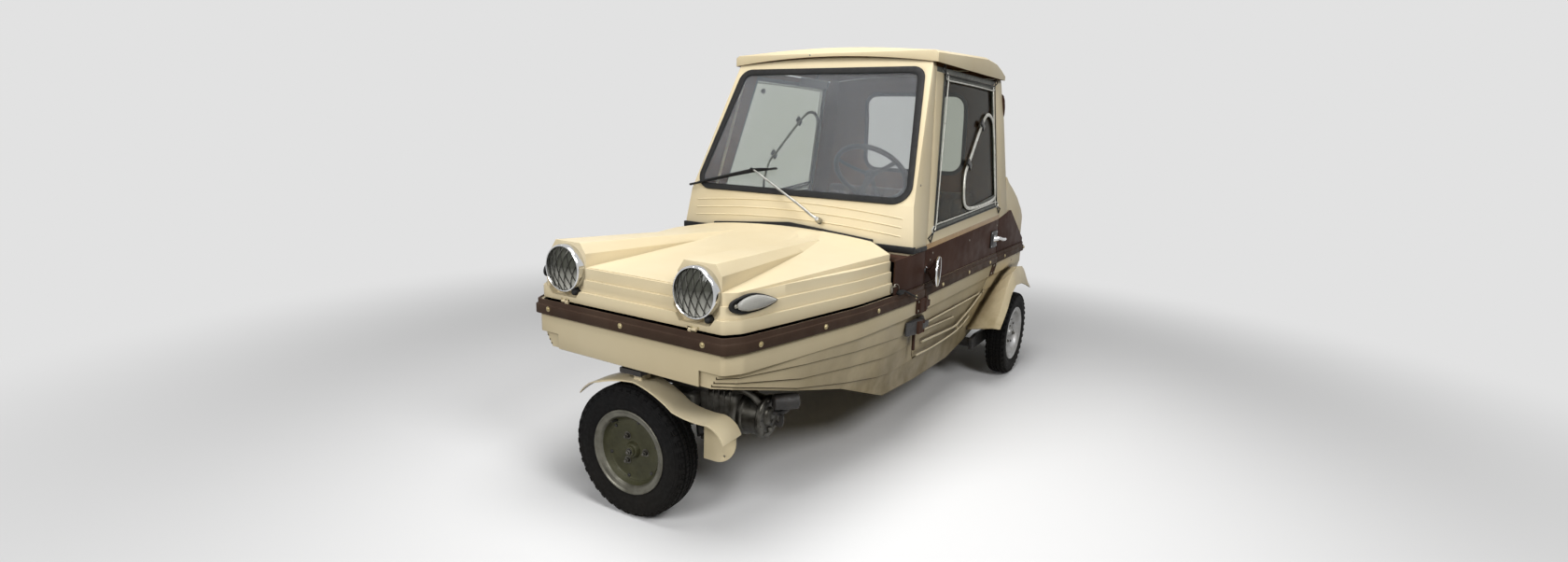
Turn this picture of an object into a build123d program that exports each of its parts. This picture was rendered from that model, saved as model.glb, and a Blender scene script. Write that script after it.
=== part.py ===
from build123d import *
import os
from math import hypot

# Three wheeled microcar with a boat-like glassfibre hull. Millimetres, nose to -Y, left side to +X.
# Stations run back from the face of the belt; export moves the middle of the length to Y = 0.
mid_station = 1347

# wheels
tyre_radius = 225
tyre_width = 98
tread_width = 84
flange_radius = 144
barrel_radius = 124
rim_width = 84
rim_wall = 5
hub_radius = 34
stub_radius = 12
pin_clearance = 0.5
front_axle_station = 63
front_wheel_lead = 10
rear_axle_station = 2328
half_track = 590
pivot_station = 2000
pivot_radius = 24
arm_outer = 516
parked_steer = -86.8

# walls and gaps
skin = 8
door_skin = 20
panel_gap = 5
pillar_gap = 5.3
inner_gap = 0.3

# belt and band round the hull
band_bottom = 577
band_top = 686
band_flange = 10
flange_width = 46
strip_bottom = 640
strip_lip = 672
strip_top = 690
strip_proud = 12
lip_proud = 7
tail_station = 2690

# plan outline of the body at the belt: half width, station, corner radius
plan_corners = [
    (386, 0, 22),
    (421, 56, 50),
    (461, 250, 500),
    (526, 600, 700),
    (553, 960, 900),
    (553, tail_station, 70),
]

# lapped lower hull: station, half width at the band, heights of laps 2, 3 and 4, then height and
# half width of the bottom
lap = 7
strakes = [
    (8, 366, 563, 549, 537, 527, 340),
    (60, 406, 560, 542, 528, 518, 380),
    (342, 474, 541, 488, 452, 441, 427),
    (620, 516, 520, 459, 395, 370, 452),
    (860, 532, 504, 433, 352, 280, 464),
    (955, 536, 498, 430, 342, 245, 468),
    (1300, 540, 497, 430, 341, 222, 470),
    (1700, 540, 497, 430, 322, 214, 470),
    (1970, 540, 497, 430, 330, 249, 470),
    (2680, 540, 500, 450, 400, 360, 470),
]
bulkhead_station = 640
bulkhead_wall = 10
open_depth = 90

# nose panel between the two front notches
fascia_half = 300
fascia_bottom = 527

# cab: side profile (station, height) and front profile (half width, height)
cab_half = 553
cab_base = 800
cab_shoulder = 862
cab_top_half = 469
cab_top = 1566
screen_foot = (982, 1003)
screen_head = (1252, 1566)
cab_foot = 958
rear_head = 2205
rear_mid = (2250, 1360)
rear_foot = 2272

# windscreen seal in its own plane: half widths, height, radii
screen_half_low = 525
screen_half_high = 446
screen_low = 1005
screen_high = 1539
seal_radius_low = 75
seal_radius_high = 60
seal_cover = 12
seal_web = 16
seal_proud = 6
glass_thick = 5

# rubber bead round the cab's foot, between the hood and the cab
cowl_bead_end = 852
cowl_bead_low = 838
cowl_bead_rise = 15
cowl_bead_ahead = 7
cowl_bead_behind = 14
side_bead_proud = 7
side_bead_high = 846

# roof cap
roof_half = 492
roof_front = 1243
roof_rear = 2204
roof_edge = 1556
roof_crown = 32
roof_lip = 18
roof_top_half = 425
roof_top_rise = 50
roof_skin = 10

# rear window
rear_glass_half = 300
rear_glass_low = 1062
rear_glass_high = 1500
rear_glass_radius = 80
rear_seal = 22

# doors
door_front = 1100
door_rear = 2110
door_bottom = 348
door_toe = 1178
door_knee = 560
door_slant_top = 1289
door_top = 1545
door_heel = (1850, 340)
door_hip = (2062, 590)
waist_front = 828
waist_rise = 0.0383
door_swing = 60
window_border_low = 58
window_border_high = 82
window_sill = 62
window_head = 22
window_back = 42
frame_width = 20
frame_depth = 12
vent_bar = 14
vent_points = [
    (1563, 998), (1588, 1107), (1650, 1163), (1879, 1350),
    (1996, 1382), (2052, 1340), (2058, 985), (1690, 947),
]
hinge_x = 564
hinge_station = 1097.5
door_hinge_heights = ((496, 546), (582, 634))
hinge_pin_radius = 4
knuckle_radius = 8
knuckle_wall_height = 12
leaf_depth = 44
leaf_face = 4
leaf_length = 48
leaf_foot = 1132
leaf_end = 1152

# door handle and mirror
handle_station = 2022
handle_height = 772
handle_reach = 40
handle_rose = 26
handle_bar = 8
handle_length = 86
handle_drop = 6
mirror_station = 1120
mirror_height = 745
mirror_x = 598
mirror_thick = 12
mirror_turn = 2
mirror_radius = 60
mirror_foot = 13
mirror_stem = 6

# wiper, drawn in the plane of the screen: (across, up, off the glass)
wiper_pivot = (150, -96, 22)
wiper_elbow = (-225, 100, 24)
wiper_blade_ends = ((-545, 8, 16), (-110, 112, 16))
wiper_arm_radius = 5
wiper_blade_radius = 6
wiper_clip_radius = 7
wiper_spindle_radius = 11

tail_lamp_half = 430
tail_lamp_height = 500
tail_lamp_radius = 38
tail_lamp_depth = 26

hood_hinge_height = 694
hood_hinge_station = 7
hood_pin_radius = 2.5
hood_knuckle_radius = 5

# hood
hood_bottom = 695
hood_steps = [(8, 735), (17, 775), (26, 812)]
hood_rear = 946
hood_side_rear = 812
hood_cut_half = 388
hood_front_top = 803
hood_rear_crown = 884
hood_rear_edge = 842
hood_skin = 6

# headlamps
lamp_half_spacing = 276
lamp_height = 804
lamp_radius = 80
lens_radius = 70
lamp_front = 2
pod_half = 82
pod_top_half = 58
pod_top = 892
pod_shoulder = 858
pod_floor = 712
pod_end = 800
alcove_half = 86
ridge_half = 62
ridge_lean = 84
ridge_top = 868

# number plate holes in the hull's rear face
plate_hole_spacing = 290
plate_hole_radius = 3.5
plate_hole_height = 500

# tail deck profile: station, height
deck_top = 1072
deck_points = [(2325, 1038), (2400, 1004), (2500, 952), (2595, 880), (2660, 792), (2682, 700)]
deck_half_low = 545
deck_half_high = 530

# steered unit
head_radius_outer = 34
head_bottom = 532
head_top = 655
kingpin_radius = 20
crown_bottom = 497
crown_thick = 16
arm_offset = 74
arm_thick = 18
guard_front = -312
guard_front_height = 340
guard_tail = 366
guard_tail_height = 344
guard_thick = 5
guard_flap = 4
guard_near = 48
guard_far = 52
guard_hole = 4

# engine and gearbox beside the fork: distance out from the fork, distance back, height
engine_block = (40, 210, 120, 290, 262, 436)
engine_mount = (0, 70, 20, 150, 300, 420)
drum_out = 128
drum_height = 346
drum_radius = 68
drum_back = (285, 375)
exhaust_radius = 14
silencer_radius = 27

# steering column
wheel_centre = (130, 1450, 1090)
column_foot = (130, 826, 504)
handwheel_radius = 170
handwheel_rim = 11
handwheel_boss = 24
spoke_size = (20, 8)
column_radius = 16
boss_depth = 25

# cabin
toe_inset = 38
seat_front = 1490
seat_rear = 1935
seat_half = 430
seat_base_top = 500
cushion_thick = 100
back_thick = 110
back_top = 1010


def at(x, station, z):
    return Location((x, station, z))


def side_slab(points, x0, x1):
    # a profile of (station, height) points pushed across the car
    face = Plane.YZ.offset(x0) * Polygon(*points, align=None)
    return extrude(face, amount=x1 - x0, dir=(1, 0, 0))


def front_slab(points, s0, s1):
    # a profile of (x, height) points pushed back along the car
    face = Plane.XZ.offset(-s0) * Polygon(*points, align=None)
    return extrude(face, amount=s1 - s0, dir=(0, 1, 0))


def block(x0, x1, s0, s1, z0, z1):
    size = (x1 - x0, s1 - s0, z1 - z0)
    middle = ((x0 + x1) / 2, (s0 + s1) / 2, (z0 + z1) / 2)
    return Location(middle) * Box(*size)


def rod(start, end, radius):
    # a round bar between two points
    a = Vector(*start)
    b = Vector(*end)
    plane = Plane(origin=a, z_dir=b - a)
    return extrude(plane * Circle(radius), amount=(b - a).length)


def mirrored(part):
    return mirror(part, about=Plane.YZ)


def both(part):
    return [part, mirrored(part)]


def plan_face(inset):
    # outline of the body seen from above, drawn in by the inset
    half = []
    radii = []
    for x, station, radius in plan_corners:
        s = station
        if station == 0:
            s = inset
        if station == tail_station:
            s = tail_station - inset
        half.append((x - inset, s))
        radii.append(radius)
    left = [(-x, s) for x, s in reversed(half)]
    line = FilletPolyline(*half, *left, radius=radii + radii[::-1], close=True)
    return make_face(line)


def plan_slab(inset, z0, z1):
    return extrude(Pos(0, 0, z0) * plan_face(inset), amount=z1 - z0, dir=(0, 0, 1))


def strake_section(row, inset, drop):
    # one cross section of the lapped hull, drawn in by the inset and its bottom moved down by the drop
    station, top_half, lap2, lap3, lap4, bottom, bottom_half = row
    lean = (top_half - bottom_half - 3 * lap) / (band_bottom - bottom)
    x = top_half - inset + lean * band_flange / 2
    z = band_bottom + band_flange / 2
    half = [(x, z)]
    for line in (lap2, lap3, lap4):
        x -= lean * (z - line)
        half.append((x, line))
        x -= lap
        half.append((x, line))
        z = line
    low = bottom - drop
    x -= lean * (z - bottom)
    half.append((x, low))
    left = [(-px, pz) for px, pz in reversed(half)]
    return Plane.XZ.offset(-station) * Polygon(*half, *left, align=None)


def strake_row(station):
    # the strake table read between two of its rows
    for first, last in zip(strakes, strakes[1:]):
        if first[0] <= station <= last[0]:
            part = (station - first[0]) / (last[0] - first[0])
            values = [a + (b - a) * part for a, b in zip(first, last)]
            return tuple(values)
    return strakes[-1]


def strake_form(start, end, inset, drop):
    rows = [strake_row(start)]
    rows += [row for row in strakes if start < row[0] < end]
    rows.append(strake_row(end))
    return loft([strake_section(row, inset, drop) for row in rows], ruled=True)


def waist_height(station):
    # upper edge of the brown waist, rising towards the tail
    return waist_front + (station - door_front) * waist_rise


def cab_form(inset):
    side = [
        (cab_foot + inset, cab_base),
        (cab_foot + inset + 4, cab_shoulder),
        (screen_foot[0] + inset, screen_foot[1]),
        (screen_head[0] + inset, screen_head[1]),
        (screen_head[0] + inset + 20, cab_top + roof_crown),
        (rear_head - inset, cab_top + roof_crown),
        (rear_mid[0] - inset, rear_mid[1]),
        (rear_foot - inset, cab_base),
    ]
    top_half = cab_top_half - inset
    front = [
        (-cab_half + inset, cab_base),
        (cab_half - inset, cab_base),
        (cab_half - inset, cab_shoulder),
        (top_half, cab_top),
        (top_half - 5, cab_top + roof_crown),
        (-top_half + 5, cab_top + roof_crown),
        (-top_half, cab_top),
        (-cab_half + inset, cab_shoulder),
    ]
    return side_slab(side, -600, 600) & front_slab(front, 900, 2320)


def roof_face(drop, edge_inset):
    # front profile of the roof cap above a crowned underside
    low = roof_edge - drop
    lip = low + roof_lip
    half = roof_half - edge_inset
    top_half = roof_top_half - edge_inset
    top = roof_edge + roof_top_rise - drop
    lines = [
        ThreePointArc((-half, low), (0, low + roof_crown), (half, low)),
        Line((half, low), (half, lip)),
        Line((half, lip), (top_half, top)),
        ThreePointArc((top_half, top), (0, top + roof_crown * 0.7), (-top_half, top)),
        Line((-top_half, top), (-half, lip)),
        Line((-half, lip), (-half, low)),
    ]
    return make_face(lines)


def above_roof_line():
    # everything over the crowned underside of the roof cap, used to trim the cab's walls
    lines = [
        ThreePointArc((-roof_half, roof_edge), (0, roof_edge + roof_crown), (roof_half, roof_edge)),
        Line((roof_half, roof_edge), (roof_half, roof_edge + 200)),
        Line((roof_half, roof_edge + 200), (-roof_half, roof_edge + 200)),
        Line((-roof_half, roof_edge + 200), (-roof_half, roof_edge)),
    ]
    return extrude(Plane.XZ.offset(-900) * make_face(lines), amount=1400, dir=(0, 1, 0))


def door_front_line(z):
    # station of the door's front edge at a height: upright at the waist, then leaning back
    if z <= waist_front:
        return door_front
    return door_front + (z - waist_front) * (door_slant_top - door_front) / (1554 - waist_front)


def door_outline(grow):
    # side profile of the door, let out by the gap
    points = [
        (door_toe + 14, door_bottom - grow),
        (door_toe - grow, door_bottom + 22 - grow),
        (door_front - grow, door_knee),
        (door_front - grow, waist_front),
        (door_front_line(door_top + grow) - grow, door_top + grow),
        (door_rear + grow, door_top + grow),
        (door_rear + grow, door_hip[1] + 40),
        (door_hip[0] + grow, door_hip[1]),
        (door_heel[0] + grow, door_heel[1] - grow),
    ]
    return points


def window_outline(inset):
    low_front = door_front_line(waist_height(door_front) + window_sill) + window_border_low
    high_front = door_front_line(door_top) + window_border_high
    points = [
        (low_front + inset, waist_height(door_front) + window_sill + inset),
        (high_front + inset, door_top - window_head - inset),
        (door_rear - window_back - inset, door_top - window_head - inset),
        (door_rear - window_back - inset, waist_height(door_rear) + window_sill + inset),
    ]
    return points


def body_envelope(inset):
    # the whole side of the body from floor to roof, drawn in by the inset
    low = strake_form(900, 2300, inset, 0)
    middle = plan_slab(inset, band_bottom, cab_shoulder) & block(-600, 600, 900, 2300, 0, 1000)
    return low + middle + (cab_form(inset) & block(-600, 600, 900, 2200, cab_base, 1700))


def tub_room():
    # the space inside the hull behind its bulkhead
    return strake_form(bulkhead_station + bulkhead_wall, strakes[-1][0] - skin, skin, -skin)


def make_hull():
    outer = strake_form(strakes[0][0], strakes[-1][0], 0, 0)
    well = strake_form(strakes[0][0] + skin, bulkhead_station, skin, open_depth)
    low = outer - well - tub_room()
    band = plan_slab(0, band_bottom, band_top) - plan_slab(skin, band_bottom - 1, band_top + 1)
    flange = plan_slab(0, band_bottom, band_bottom + band_flange)
    flange -= plan_slab(flange_width, band_bottom - 1, band_top)
    flange -= block(-60, 60, skin, 120, band_bottom - 1, band_top)
    fascia = block(-fascia_half, fascia_half, 0, strakes[0][0] + skin, fascia_bottom, band_bottom + 1)
    hull = low + band + flange + fascia
    opening = side_slab(door_outline(panel_gap), 400, 620)
    hull -= opening
    hull -= mirrored(opening)
    for lug in both(hood_hinge_lug()):
        hull += lug
    for x in (-plate_hole_spacing / 2, plate_hole_spacing / 2):
        hull -= rod((x, 2640, plate_hole_height), (x, 2720, plate_hole_height), plate_hole_radius)
    return hull


def make_belt_strip():
    strip = plan_slab(-strip_proud, strip_bottom, strip_lip)
    strip += plan_slab(-lip_proud, strip_lip, strip_top)
    strip -= plan_slab(0, strip_bottom - 1, strip_top + 1)
    gap = block(-700, 700, door_front - panel_gap, door_rear + panel_gap, strip_bottom - 5, strip_top + 5)
    return strip - gap


def make_door_strip():
    strip = plan_slab(-strip_proud, strip_bottom, strip_lip)
    strip += plan_slab(-lip_proud, strip_lip, strip_top)
    strip -= plan_slab(0, strip_bottom - 1, strip_top + 1)
    return strip & block(0, 700, door_front, door_rear, strip_bottom, strip_top)


def scuttle_side():
    return [
        (hood_side_rear + panel_gap, strip_top),
        (hood_side_rear + panel_gap, waist_front - 8),
        (door_front - panel_gap, waist_front),
        (door_front - panel_gap, strip_top),
    ]


def make_scuttle_panels():
    ring = plan_slab(0, strip_top - 1, waist_front + 1) - plan_slab(skin, strip_top - 2, waist_front + 2)
    wall = ring & side_slab(scuttle_side(), 400, 700)
    ahead = [
        (700, hood_side_rear - 60),
        (cab_half, hood_side_rear + panel_gap + 2),
        (hood_cut_half, hood_rear + panel_gap + 2),
        (hood_cut_half, hood_side_rear - 60),
    ]
    wall -= extrude(Pos(0, 0, 600) * Polygon(*ahead, align=None), amount=400, dir=(0, 0, 1))
    top = [
        (cab_half, hood_side_rear + panel_gap),
        (cab_half, cab_foot),
        (hood_cut_half + 8, cab_foot),
        (hood_cut_half + 8, hood_rear + 8),
        (hood_cut_half + 20, hood_rear + 3),
    ]
    plate = extrude(Pos(0, 0, waist_front - 16) * Polygon(*top, align=None), amount=8, dir=(0, 0, 1))
    return wall + (plate & plan_slab(0, strip_top, waist_front + 1))


def screen_plane():
    run = screen_head[0] - screen_foot[0]
    rise = screen_head[1] - screen_foot[1]
    length = hypot(run, rise)
    start = screen_foot[0] + (screen_low - screen_foot[1]) * run / rise
    normal = (0, -rise / length, run / length)
    return Plane(origin=(0, start, screen_low), x_dir=(1, 0, 0), z_dir=normal)


def screen_face(inset):
    run = screen_head[0] - screen_foot[0]
    rise = screen_head[1] - screen_foot[1]
    height = (screen_high - screen_low) * hypot(run, rise) / rise
    low = screen_half_low - inset
    high = screen_half_high - inset
    points = [(-low, inset), (low, inset), (high, height - inset), (-high, height - inset)]
    r_low = max(seal_radius_low - inset, 20)
    r_high = max(seal_radius_high - inset, 20)
    line = FilletPolyline(*points, radius=[r_low, r_low, r_high, r_high], close=True)
    return make_face(line)


def screen_slab(inset, below, above):
    plane = screen_plane()
    return extrude(plane.offset(-below) * screen_face(inset), amount=below + above, dir=plane.z_dir)


def make_cab_front():
    shell = cab_form(0) - cab_form(skin)
    pillar_line = [
        (900, cab_base),
        (900, 1700),
        (door_front_line(door_top) - pillar_gap + 14, 1700),
        (door_front_line(door_top) - pillar_gap, door_top),
        (door_front - pillar_gap, waist_front),
        (door_front - pillar_gap, cab_base),
    ]
    shell = shell & side_slab(pillar_line, -700, 700)
    shell -= above_roof_line()
    low_side = side_slab(scuttle_side(), cab_half - skin - 1, cab_half + 1)
    shell -= low_side
    shell -= mirrored(low_side)
    return shell - screen_slab(seal_cover, 60, 60)


def make_windscreen_seal():
    lip = screen_slab(0, 0, seal_proud) - screen_slab(seal_cover + seal_web, 60, 60)
    web = screen_slab(seal_cover, skin, 0) - screen_slab(seal_cover + seal_web, 60, 60)
    return lip + web


def make_windscreen_glass():
    return screen_slab(seal_cover + seal_web, glass_thick, 0)


def make_cowl_seal():
    # stands a little above the hood's rear edge and runs on to the door's front edge
    crown = [
        (-hood_cut_half, cowl_bead_end + cowl_bead_rise),
        (0, hood_rear_crown + cowl_bead_rise),
        (hood_cut_half, cowl_bead_end + cowl_bead_rise),
        (hood_cut_half, cowl_bead_low),
        (-hood_cut_half, cowl_bead_low),
    ]
    bead = front_slab(crown, cab_foot - cowl_bead_ahead, cab_foot + cowl_bead_behind)
    ahead = cab_foot - cowl_bead_ahead
    corner = block(
        hood_cut_half - 2, cab_half + side_bead_proud,
        ahead, cab_foot + cowl_bead_behind,
        waist_front, cowl_bead_end + 2,
    )
    side = block(
        cab_half - 2, cab_half + side_bead_proud,
        ahead, door_front - pillar_gap,
        waist_front, side_bead_high,
    )
    bead += corner + side + mirrored(corner + side)
    return bead - cab_form(0)


def make_roof():
    length = roof_rear - roof_front
    outer = extrude(Plane.XZ.offset(-roof_front) * roof_face(0, 0), amount=length, dir=(0, 1, 0))
    inner = extrude(
        Plane.XZ.offset(-roof_front - roof_skin) * roof_face(roof_skin, roof_skin + 18),
        amount=length - 2 * roof_skin,
        dir=(0, 1, 0),
    )
    side = [
        (roof_front, roof_edge - 20),
        (roof_front, roof_edge + 44),
        (roof_front + 62, roof_edge + 96),
        (roof_rear - 92, roof_edge + 96),
        (roof_rear, roof_edge + 44),
        (roof_rear, roof_edge - 20),
    ]
    return (outer & side_slab(side, -600, 600)) - inner


def rear_window_face(inset):
    width = 2 * (rear_glass_half - inset)
    height = rear_glass_high - rear_glass_low - 2 * inset
    middle = (rear_glass_high + rear_glass_low) / 2
    face = Pos(0, middle) * RectangleRounded(width, height, rear_glass_radius - inset)
    return Plane.XZ.offset(-2150) * face


def rear_window_slab(inset):
    return extrude(rear_window_face(inset), amount=200, dir=(0, 1, 0))


def make_rear_wall():
    shell = cab_form(0) - cab_form(skin)
    shell = shell & block(-700, 700, door_rear + panel_gap, 2400, cab_base, 1700)
    shell -= above_roof_line()
    low_side = side_slab(tail_side_line(), cab_half - skin - 1, cab_half + 1)
    shell -= low_side
    shell -= mirrored(low_side)
    return shell - rear_window_slab(0)


def make_rear_glass():
    pane = cab_form(0) - cab_form(glass_thick)
    return pane & rear_window_slab(rear_seal)


def make_rear_seal():
    ring = cab_form(-4) - cab_form(skin)
    return ring & (rear_window_slab(0) - rear_window_slab(rear_seal))


def make_tail_deck():
    end = deck_points[-1][0]
    outer_line = [(rear_foot, band_top), (rear_foot, deck_top)]
    outer_line += deck_points
    outer_line.append((end, band_top))
    inner_line = [(rear_foot - 1, band_top - 1), (rear_foot - 1, deck_top - 2 * skin)]
    inner_line += [(s - 0.7 * skin, z - skin) for s, z in deck_points]
    inner_line.append((end - skin, band_top - 1))
    front = [
        (-deck_half_low, band_top),
        (deck_half_low, band_top),
        (deck_half_low, 800),
        (deck_half_high, 1080),
        (-deck_half_high, 1080),
        (-deck_half_low, 800),
    ]
    inner_front = [(x - skin if x > 0 else x + skin, z) for x, z in front]
    inner_front[0] = (-deck_half_low + skin, band_top - 2)
    inner_front[1] = (deck_half_low - skin, band_top - 2)
    outer = side_slab(outer_line, -600, 600) & front_slab(front, 2200, 2720) & plan_slab(skin, 600, 1100)
    inner = side_slab(inner_line, -600, 600) & front_slab(inner_front, 2200, 2720)
    return outer - (inner & plan_slab(2 * skin, 600, 1100)) - cab_form(0)


def tail_side_line():
    return [
        (door_rear + panel_gap, strip_top),
        (door_rear + panel_gap, waist_height(door_rear)),
        (2334, 895),
        (2640, 712),
        (2640, strip_top),
    ]


def make_tail_side():
    return side_slab(tail_side_line(), deck_half_low, cab_half)


def make_bulkhead():
    # toe board and the panel over the feet, from the hull's bulkhead to the cab's foot
    low = bulkhead_station
    line = [
        (low, band_bottom + band_flange),
        (low, 640),
        (cab_foot - 26, 800),
        (cab_foot + 4, 800),
        (cab_foot + 4, 792),
        (cab_foot - 20, 792),
        (low + bulkhead_wall, 634),
        (low + bulkhead_wall, band_bottom + band_flange),
    ]
    panel = side_slab(line, -600, 600) & plan_slab(toe_inset, band_bottom, 1000)
    floor = band_bottom + band_flange
    side = [(low, floor), (low, 640), (cab_foot - 26, 800), (cab_foot + 4, 800), (cab_foot + 4, floor)]
    cheeks = plan_slab(toe_inset, floor, 1000) - plan_slab(toe_inset + 6, floor - 1, 1001)
    return panel + (cheeks & side_slab(side, -600, 600))


def make_floor():
    # raised floor and the box under the seat
    room = tub_room()
    floor = room & block(-600, 600, 1000, seat_front, 236, 246)
    box = block(-seat_half, seat_half, seat_front, seat_rear, 200, seat_base_top)
    box -= block(-seat_half + 12, seat_half - 12, seat_front + 12, seat_rear - 12, 190, seat_base_top - 12)
    return floor + (box & room)


def make_cushion():
    top = seat_base_top + cushion_thick
    return block(-seat_half, seat_half, seat_front, seat_rear, seat_base_top, top)


def make_seat_back():
    line = [
        (seat_rear, seat_base_top),
        (seat_rear + 95, back_top),
        (seat_rear + 95 + back_thick, back_top),
        (seat_rear + back_thick, seat_base_top),
    ]
    return side_slab(line, -seat_half, seat_half)


def make_dashboard():
    line = [
        (cab_foot + skin + inner_gap, 812),
        (screen_foot[0] + skin - 2, 985),
        (screen_foot[0] + 130, 975),
        (screen_foot[0] + 118, 862),
        (screen_foot[0] + 60, 812),
    ]
    panel = side_slab(line, -500, 500)
    room = cab_form(skin + inner_gap) & side_slab(door_room(), -700, 700)
    return panel & room


def door_room():
    return [(900, 700), (900, 1100), (1130, 1100), (1075, 820), (1075, 700)]


def make_steering_column():
    hub = Vector(*wheel_centre)
    foot = Vector(*column_foot)
    direction = (hub - foot).normalized()
    top = hub - direction * (boss_depth + inner_gap)
    tube = rod(column_foot, (top.X, top.Y, top.Z), column_radius)
    along = (1168 - foot.Y) / direction.Y
    grip = foot + direction * along
    bracket = block(wheel_centre[0] - 26, wheel_centre[0] + 26, 1090, grip.Y + 4, grip.Z - 6, grip.Z + 30)
    foot_plate = block(wheel_centre[0] - 30, wheel_centre[0] + 30, 812, 842, 200, column_foot[2] + 12)
    return tube + bracket + (foot_plate & tub_room())


def make_handwheel():
    hub = Vector(*wheel_centre)
    foot = Vector(*column_foot)
    plane = Plane(origin=hub, x_dir=(1, 0, 0), z_dir=hub - foot)
    rim = Torus(handwheel_radius, handwheel_rim)
    boss = Pos(0, 0, -boss_depth / 2) * Cylinder(handwheel_boss, boss_depth)
    wheel = rim + boss
    for turn in (90, 210, 330):
        spoke = Pos(handwheel_radius / 2, 0, -6) * Box(handwheel_radius, *spoke_size)
        wheel += Rot(0, 0, turn) * spoke
    return plane.location * wheel


def make_tyre():
    # section: radius against distance from the wheel's middle plane
    half = tyre_width / 2
    tread = tread_width / 2
    bead = rim_width / 2 - rim_wall
    points = [
        (bead, barrel_radius),
        (bead, flange_radius + 1),
        (half - 6, flange_radius + 16),
        (half, flange_radius + 34),
        (half - 1, tyre_radius - 24),
        (tread, tyre_radius - 6),
        (tread * 0.5, tyre_radius),
    ]
    left = [(-x, r) for x, r in reversed(points)]
    face = Plane.XY * Polygon(*points, *left, align=None)
    return revolve(face, Axis.X)


def make_rim():
    half = rim_width / 2
    well = half - rim_wall
    points = [
        (half + 4, flange_radius),
        (half + 4, flange_radius - 5),
        (half, flange_radius - 8),
        (half, barrel_radius - rim_wall),
        (24, barrel_radius - rim_wall),
        (24, 104),
        (12, 96),
        (12, 40),
        (30, hub_radius),
        (30, 18),
        (36, 18),
        (36, stub_radius + pin_clearance),
        (-44, stub_radius + pin_clearance),
        (-44, hub_radius),
        (4, hub_radius),
        (4, 100),
        (18, 110),
        (18, barrel_radius - rim_wall),
        (-half, barrel_radius - rim_wall),
        (-half, flange_radius - 8),
        (-half - 4, flange_radius - 5),
        (-half - 4, flange_radius),
        (-well, flange_radius),
        (-well, barrel_radius),
        (well, barrel_radius),
        (well, flange_radius),
    ]
    rim = revolve(Plane.XY * Polygon(*points, align=None), Axis.X)
    for turn in (0, 120, 240):
        nut = Pos(18, 0, 0) * Rot(turn, 0, 0) * Pos(0, 0, 62) * Rot(0, 90, 0)
        rim += nut * extrude(RegularPolygon(11, 6), amount=12, both=True)
    return rim


def steered(part):
    # from the straight-ahead frame of the kingpin to its parked turn
    return at(0, front_axle_station, 0) * Rot(0, 0, parked_steer) * part


def make_fork():
    kingpin = Pos(0, 0, (crown_bottom + head_top) / 2) * Cylinder(kingpin_radius, head_top - crown_bottom)
    crown = block(-arm_offset - arm_thick, 46, -36, 50, crown_bottom, crown_bottom + crown_thick)
    arm_line = [
        (-36, crown_bottom + 2),
        (50, crown_bottom + 2),
        (24, 200),
        (-40, 190),
        (-52, 225),
    ]
    arm = side_slab(arm_line, -arm_offset - arm_thick, -arm_offset)
    hub = (34, -front_wheel_lead, tyre_radius)
    stub = rod((-arm_offset, -front_wheel_lead, tyre_radius), hub, stub_radius)
    return kingpin + crown + arm + stub


def guard_line(thick):
    # arcs over the tyre, through the hollow behind it and down the tail: distance behind the kingpin, height
    tail = 0.8 * thick
    return [
        ThreePointArc(
            (guard_front + tail, guard_front_height - 0.5 * thick),
            (-150, 440 - thick),
            (20, 477 - thick),
        ),
        ThreePointArc((20, 477 - thick), (100, 452 - thick), (172, 411 - thick)),
        ThreePointArc((172, 411 - thick), (238, 398 - thick), (300, 397 - thick)),
        ThreePointArc(
            (300, 397 - thick),
            (345 - tail, 377 - tail),
            (guard_tail - thick, guard_tail_height),
        ),
    ]


def make_mudguard():
    inner_front = (guard_front + 0.8 * guard_thick, guard_front_height - 0.5 * guard_thick)
    ends = [
        Line((guard_front, guard_front_height), inner_front),
        Line((guard_tail, guard_tail_height), (guard_tail - guard_thick, guard_tail_height)),
    ]
    profile = Plane.YZ.offset(-guard_far) * make_face(guard_line(0) + guard_line(guard_thick) + ends)
    sheet = extrude(profile, amount=guard_far + guard_near, dir=(1, 0, 0))
    corner = [(guard_near + 1, guard_front - 1), (guard_near + 1, -128), (-guard_far, guard_front - 1)]
    sheet -= extrude(Pos(0, 0, 300) * Polygon(*corner, align=None), amount=200, dir=(0, 0, 1))
    outline = [
        Line((228, 396), (228, 232)),
        Line((228, 232), (272, 232)),
        ThreePointArc((272, 232), (328, 258), (348, 318)),
        Line((348, 318), (350, 366)),
        Line((350, 366), (300, 394)),
        Line((300, 394), (228, 396)),
    ]
    flap = extrude(Plane.YZ.offset(-guard_far) * make_face(outline), amount=guard_flap, dir=(1, 0, 0))
    flap -= rod((-60, 306, 258), (-40, 306, 258), guard_hole)
    # strap up to the underside of the fork's crown
    strap = block(-24, 24, 4, 34, 471, crown_bottom)
    return sheet + flap + strap


def outboard_block(near, far, s0, s1, z0, z1):
    face = -arm_offset - arm_thick
    return block(face - far, face - near, s0, s1, z0, z1)


def make_engine():
    mount = outboard_block(*engine_mount)
    crankcase = outboard_block(*engine_block)
    x = -arm_offset - arm_thick - drum_out
    front, back = drum_back
    drum = rod((x, front, drum_height), (x, back, drum_height), drum_radius)
    pipe_end = (x - 32, back + 45, drum_height + 46)
    exhaust = rod((x, back - 5, drum_height - 16), pipe_end, exhaust_radius)
    silencer_height = drum_height + 54
    silencer = rod(
        (x - 2, back + 7, silencer_height),
        (x - 58, back + 71, silencer_height),
        silencer_radius,
    )
    return mount + crankcase + drum + exhaust + silencer


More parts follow.
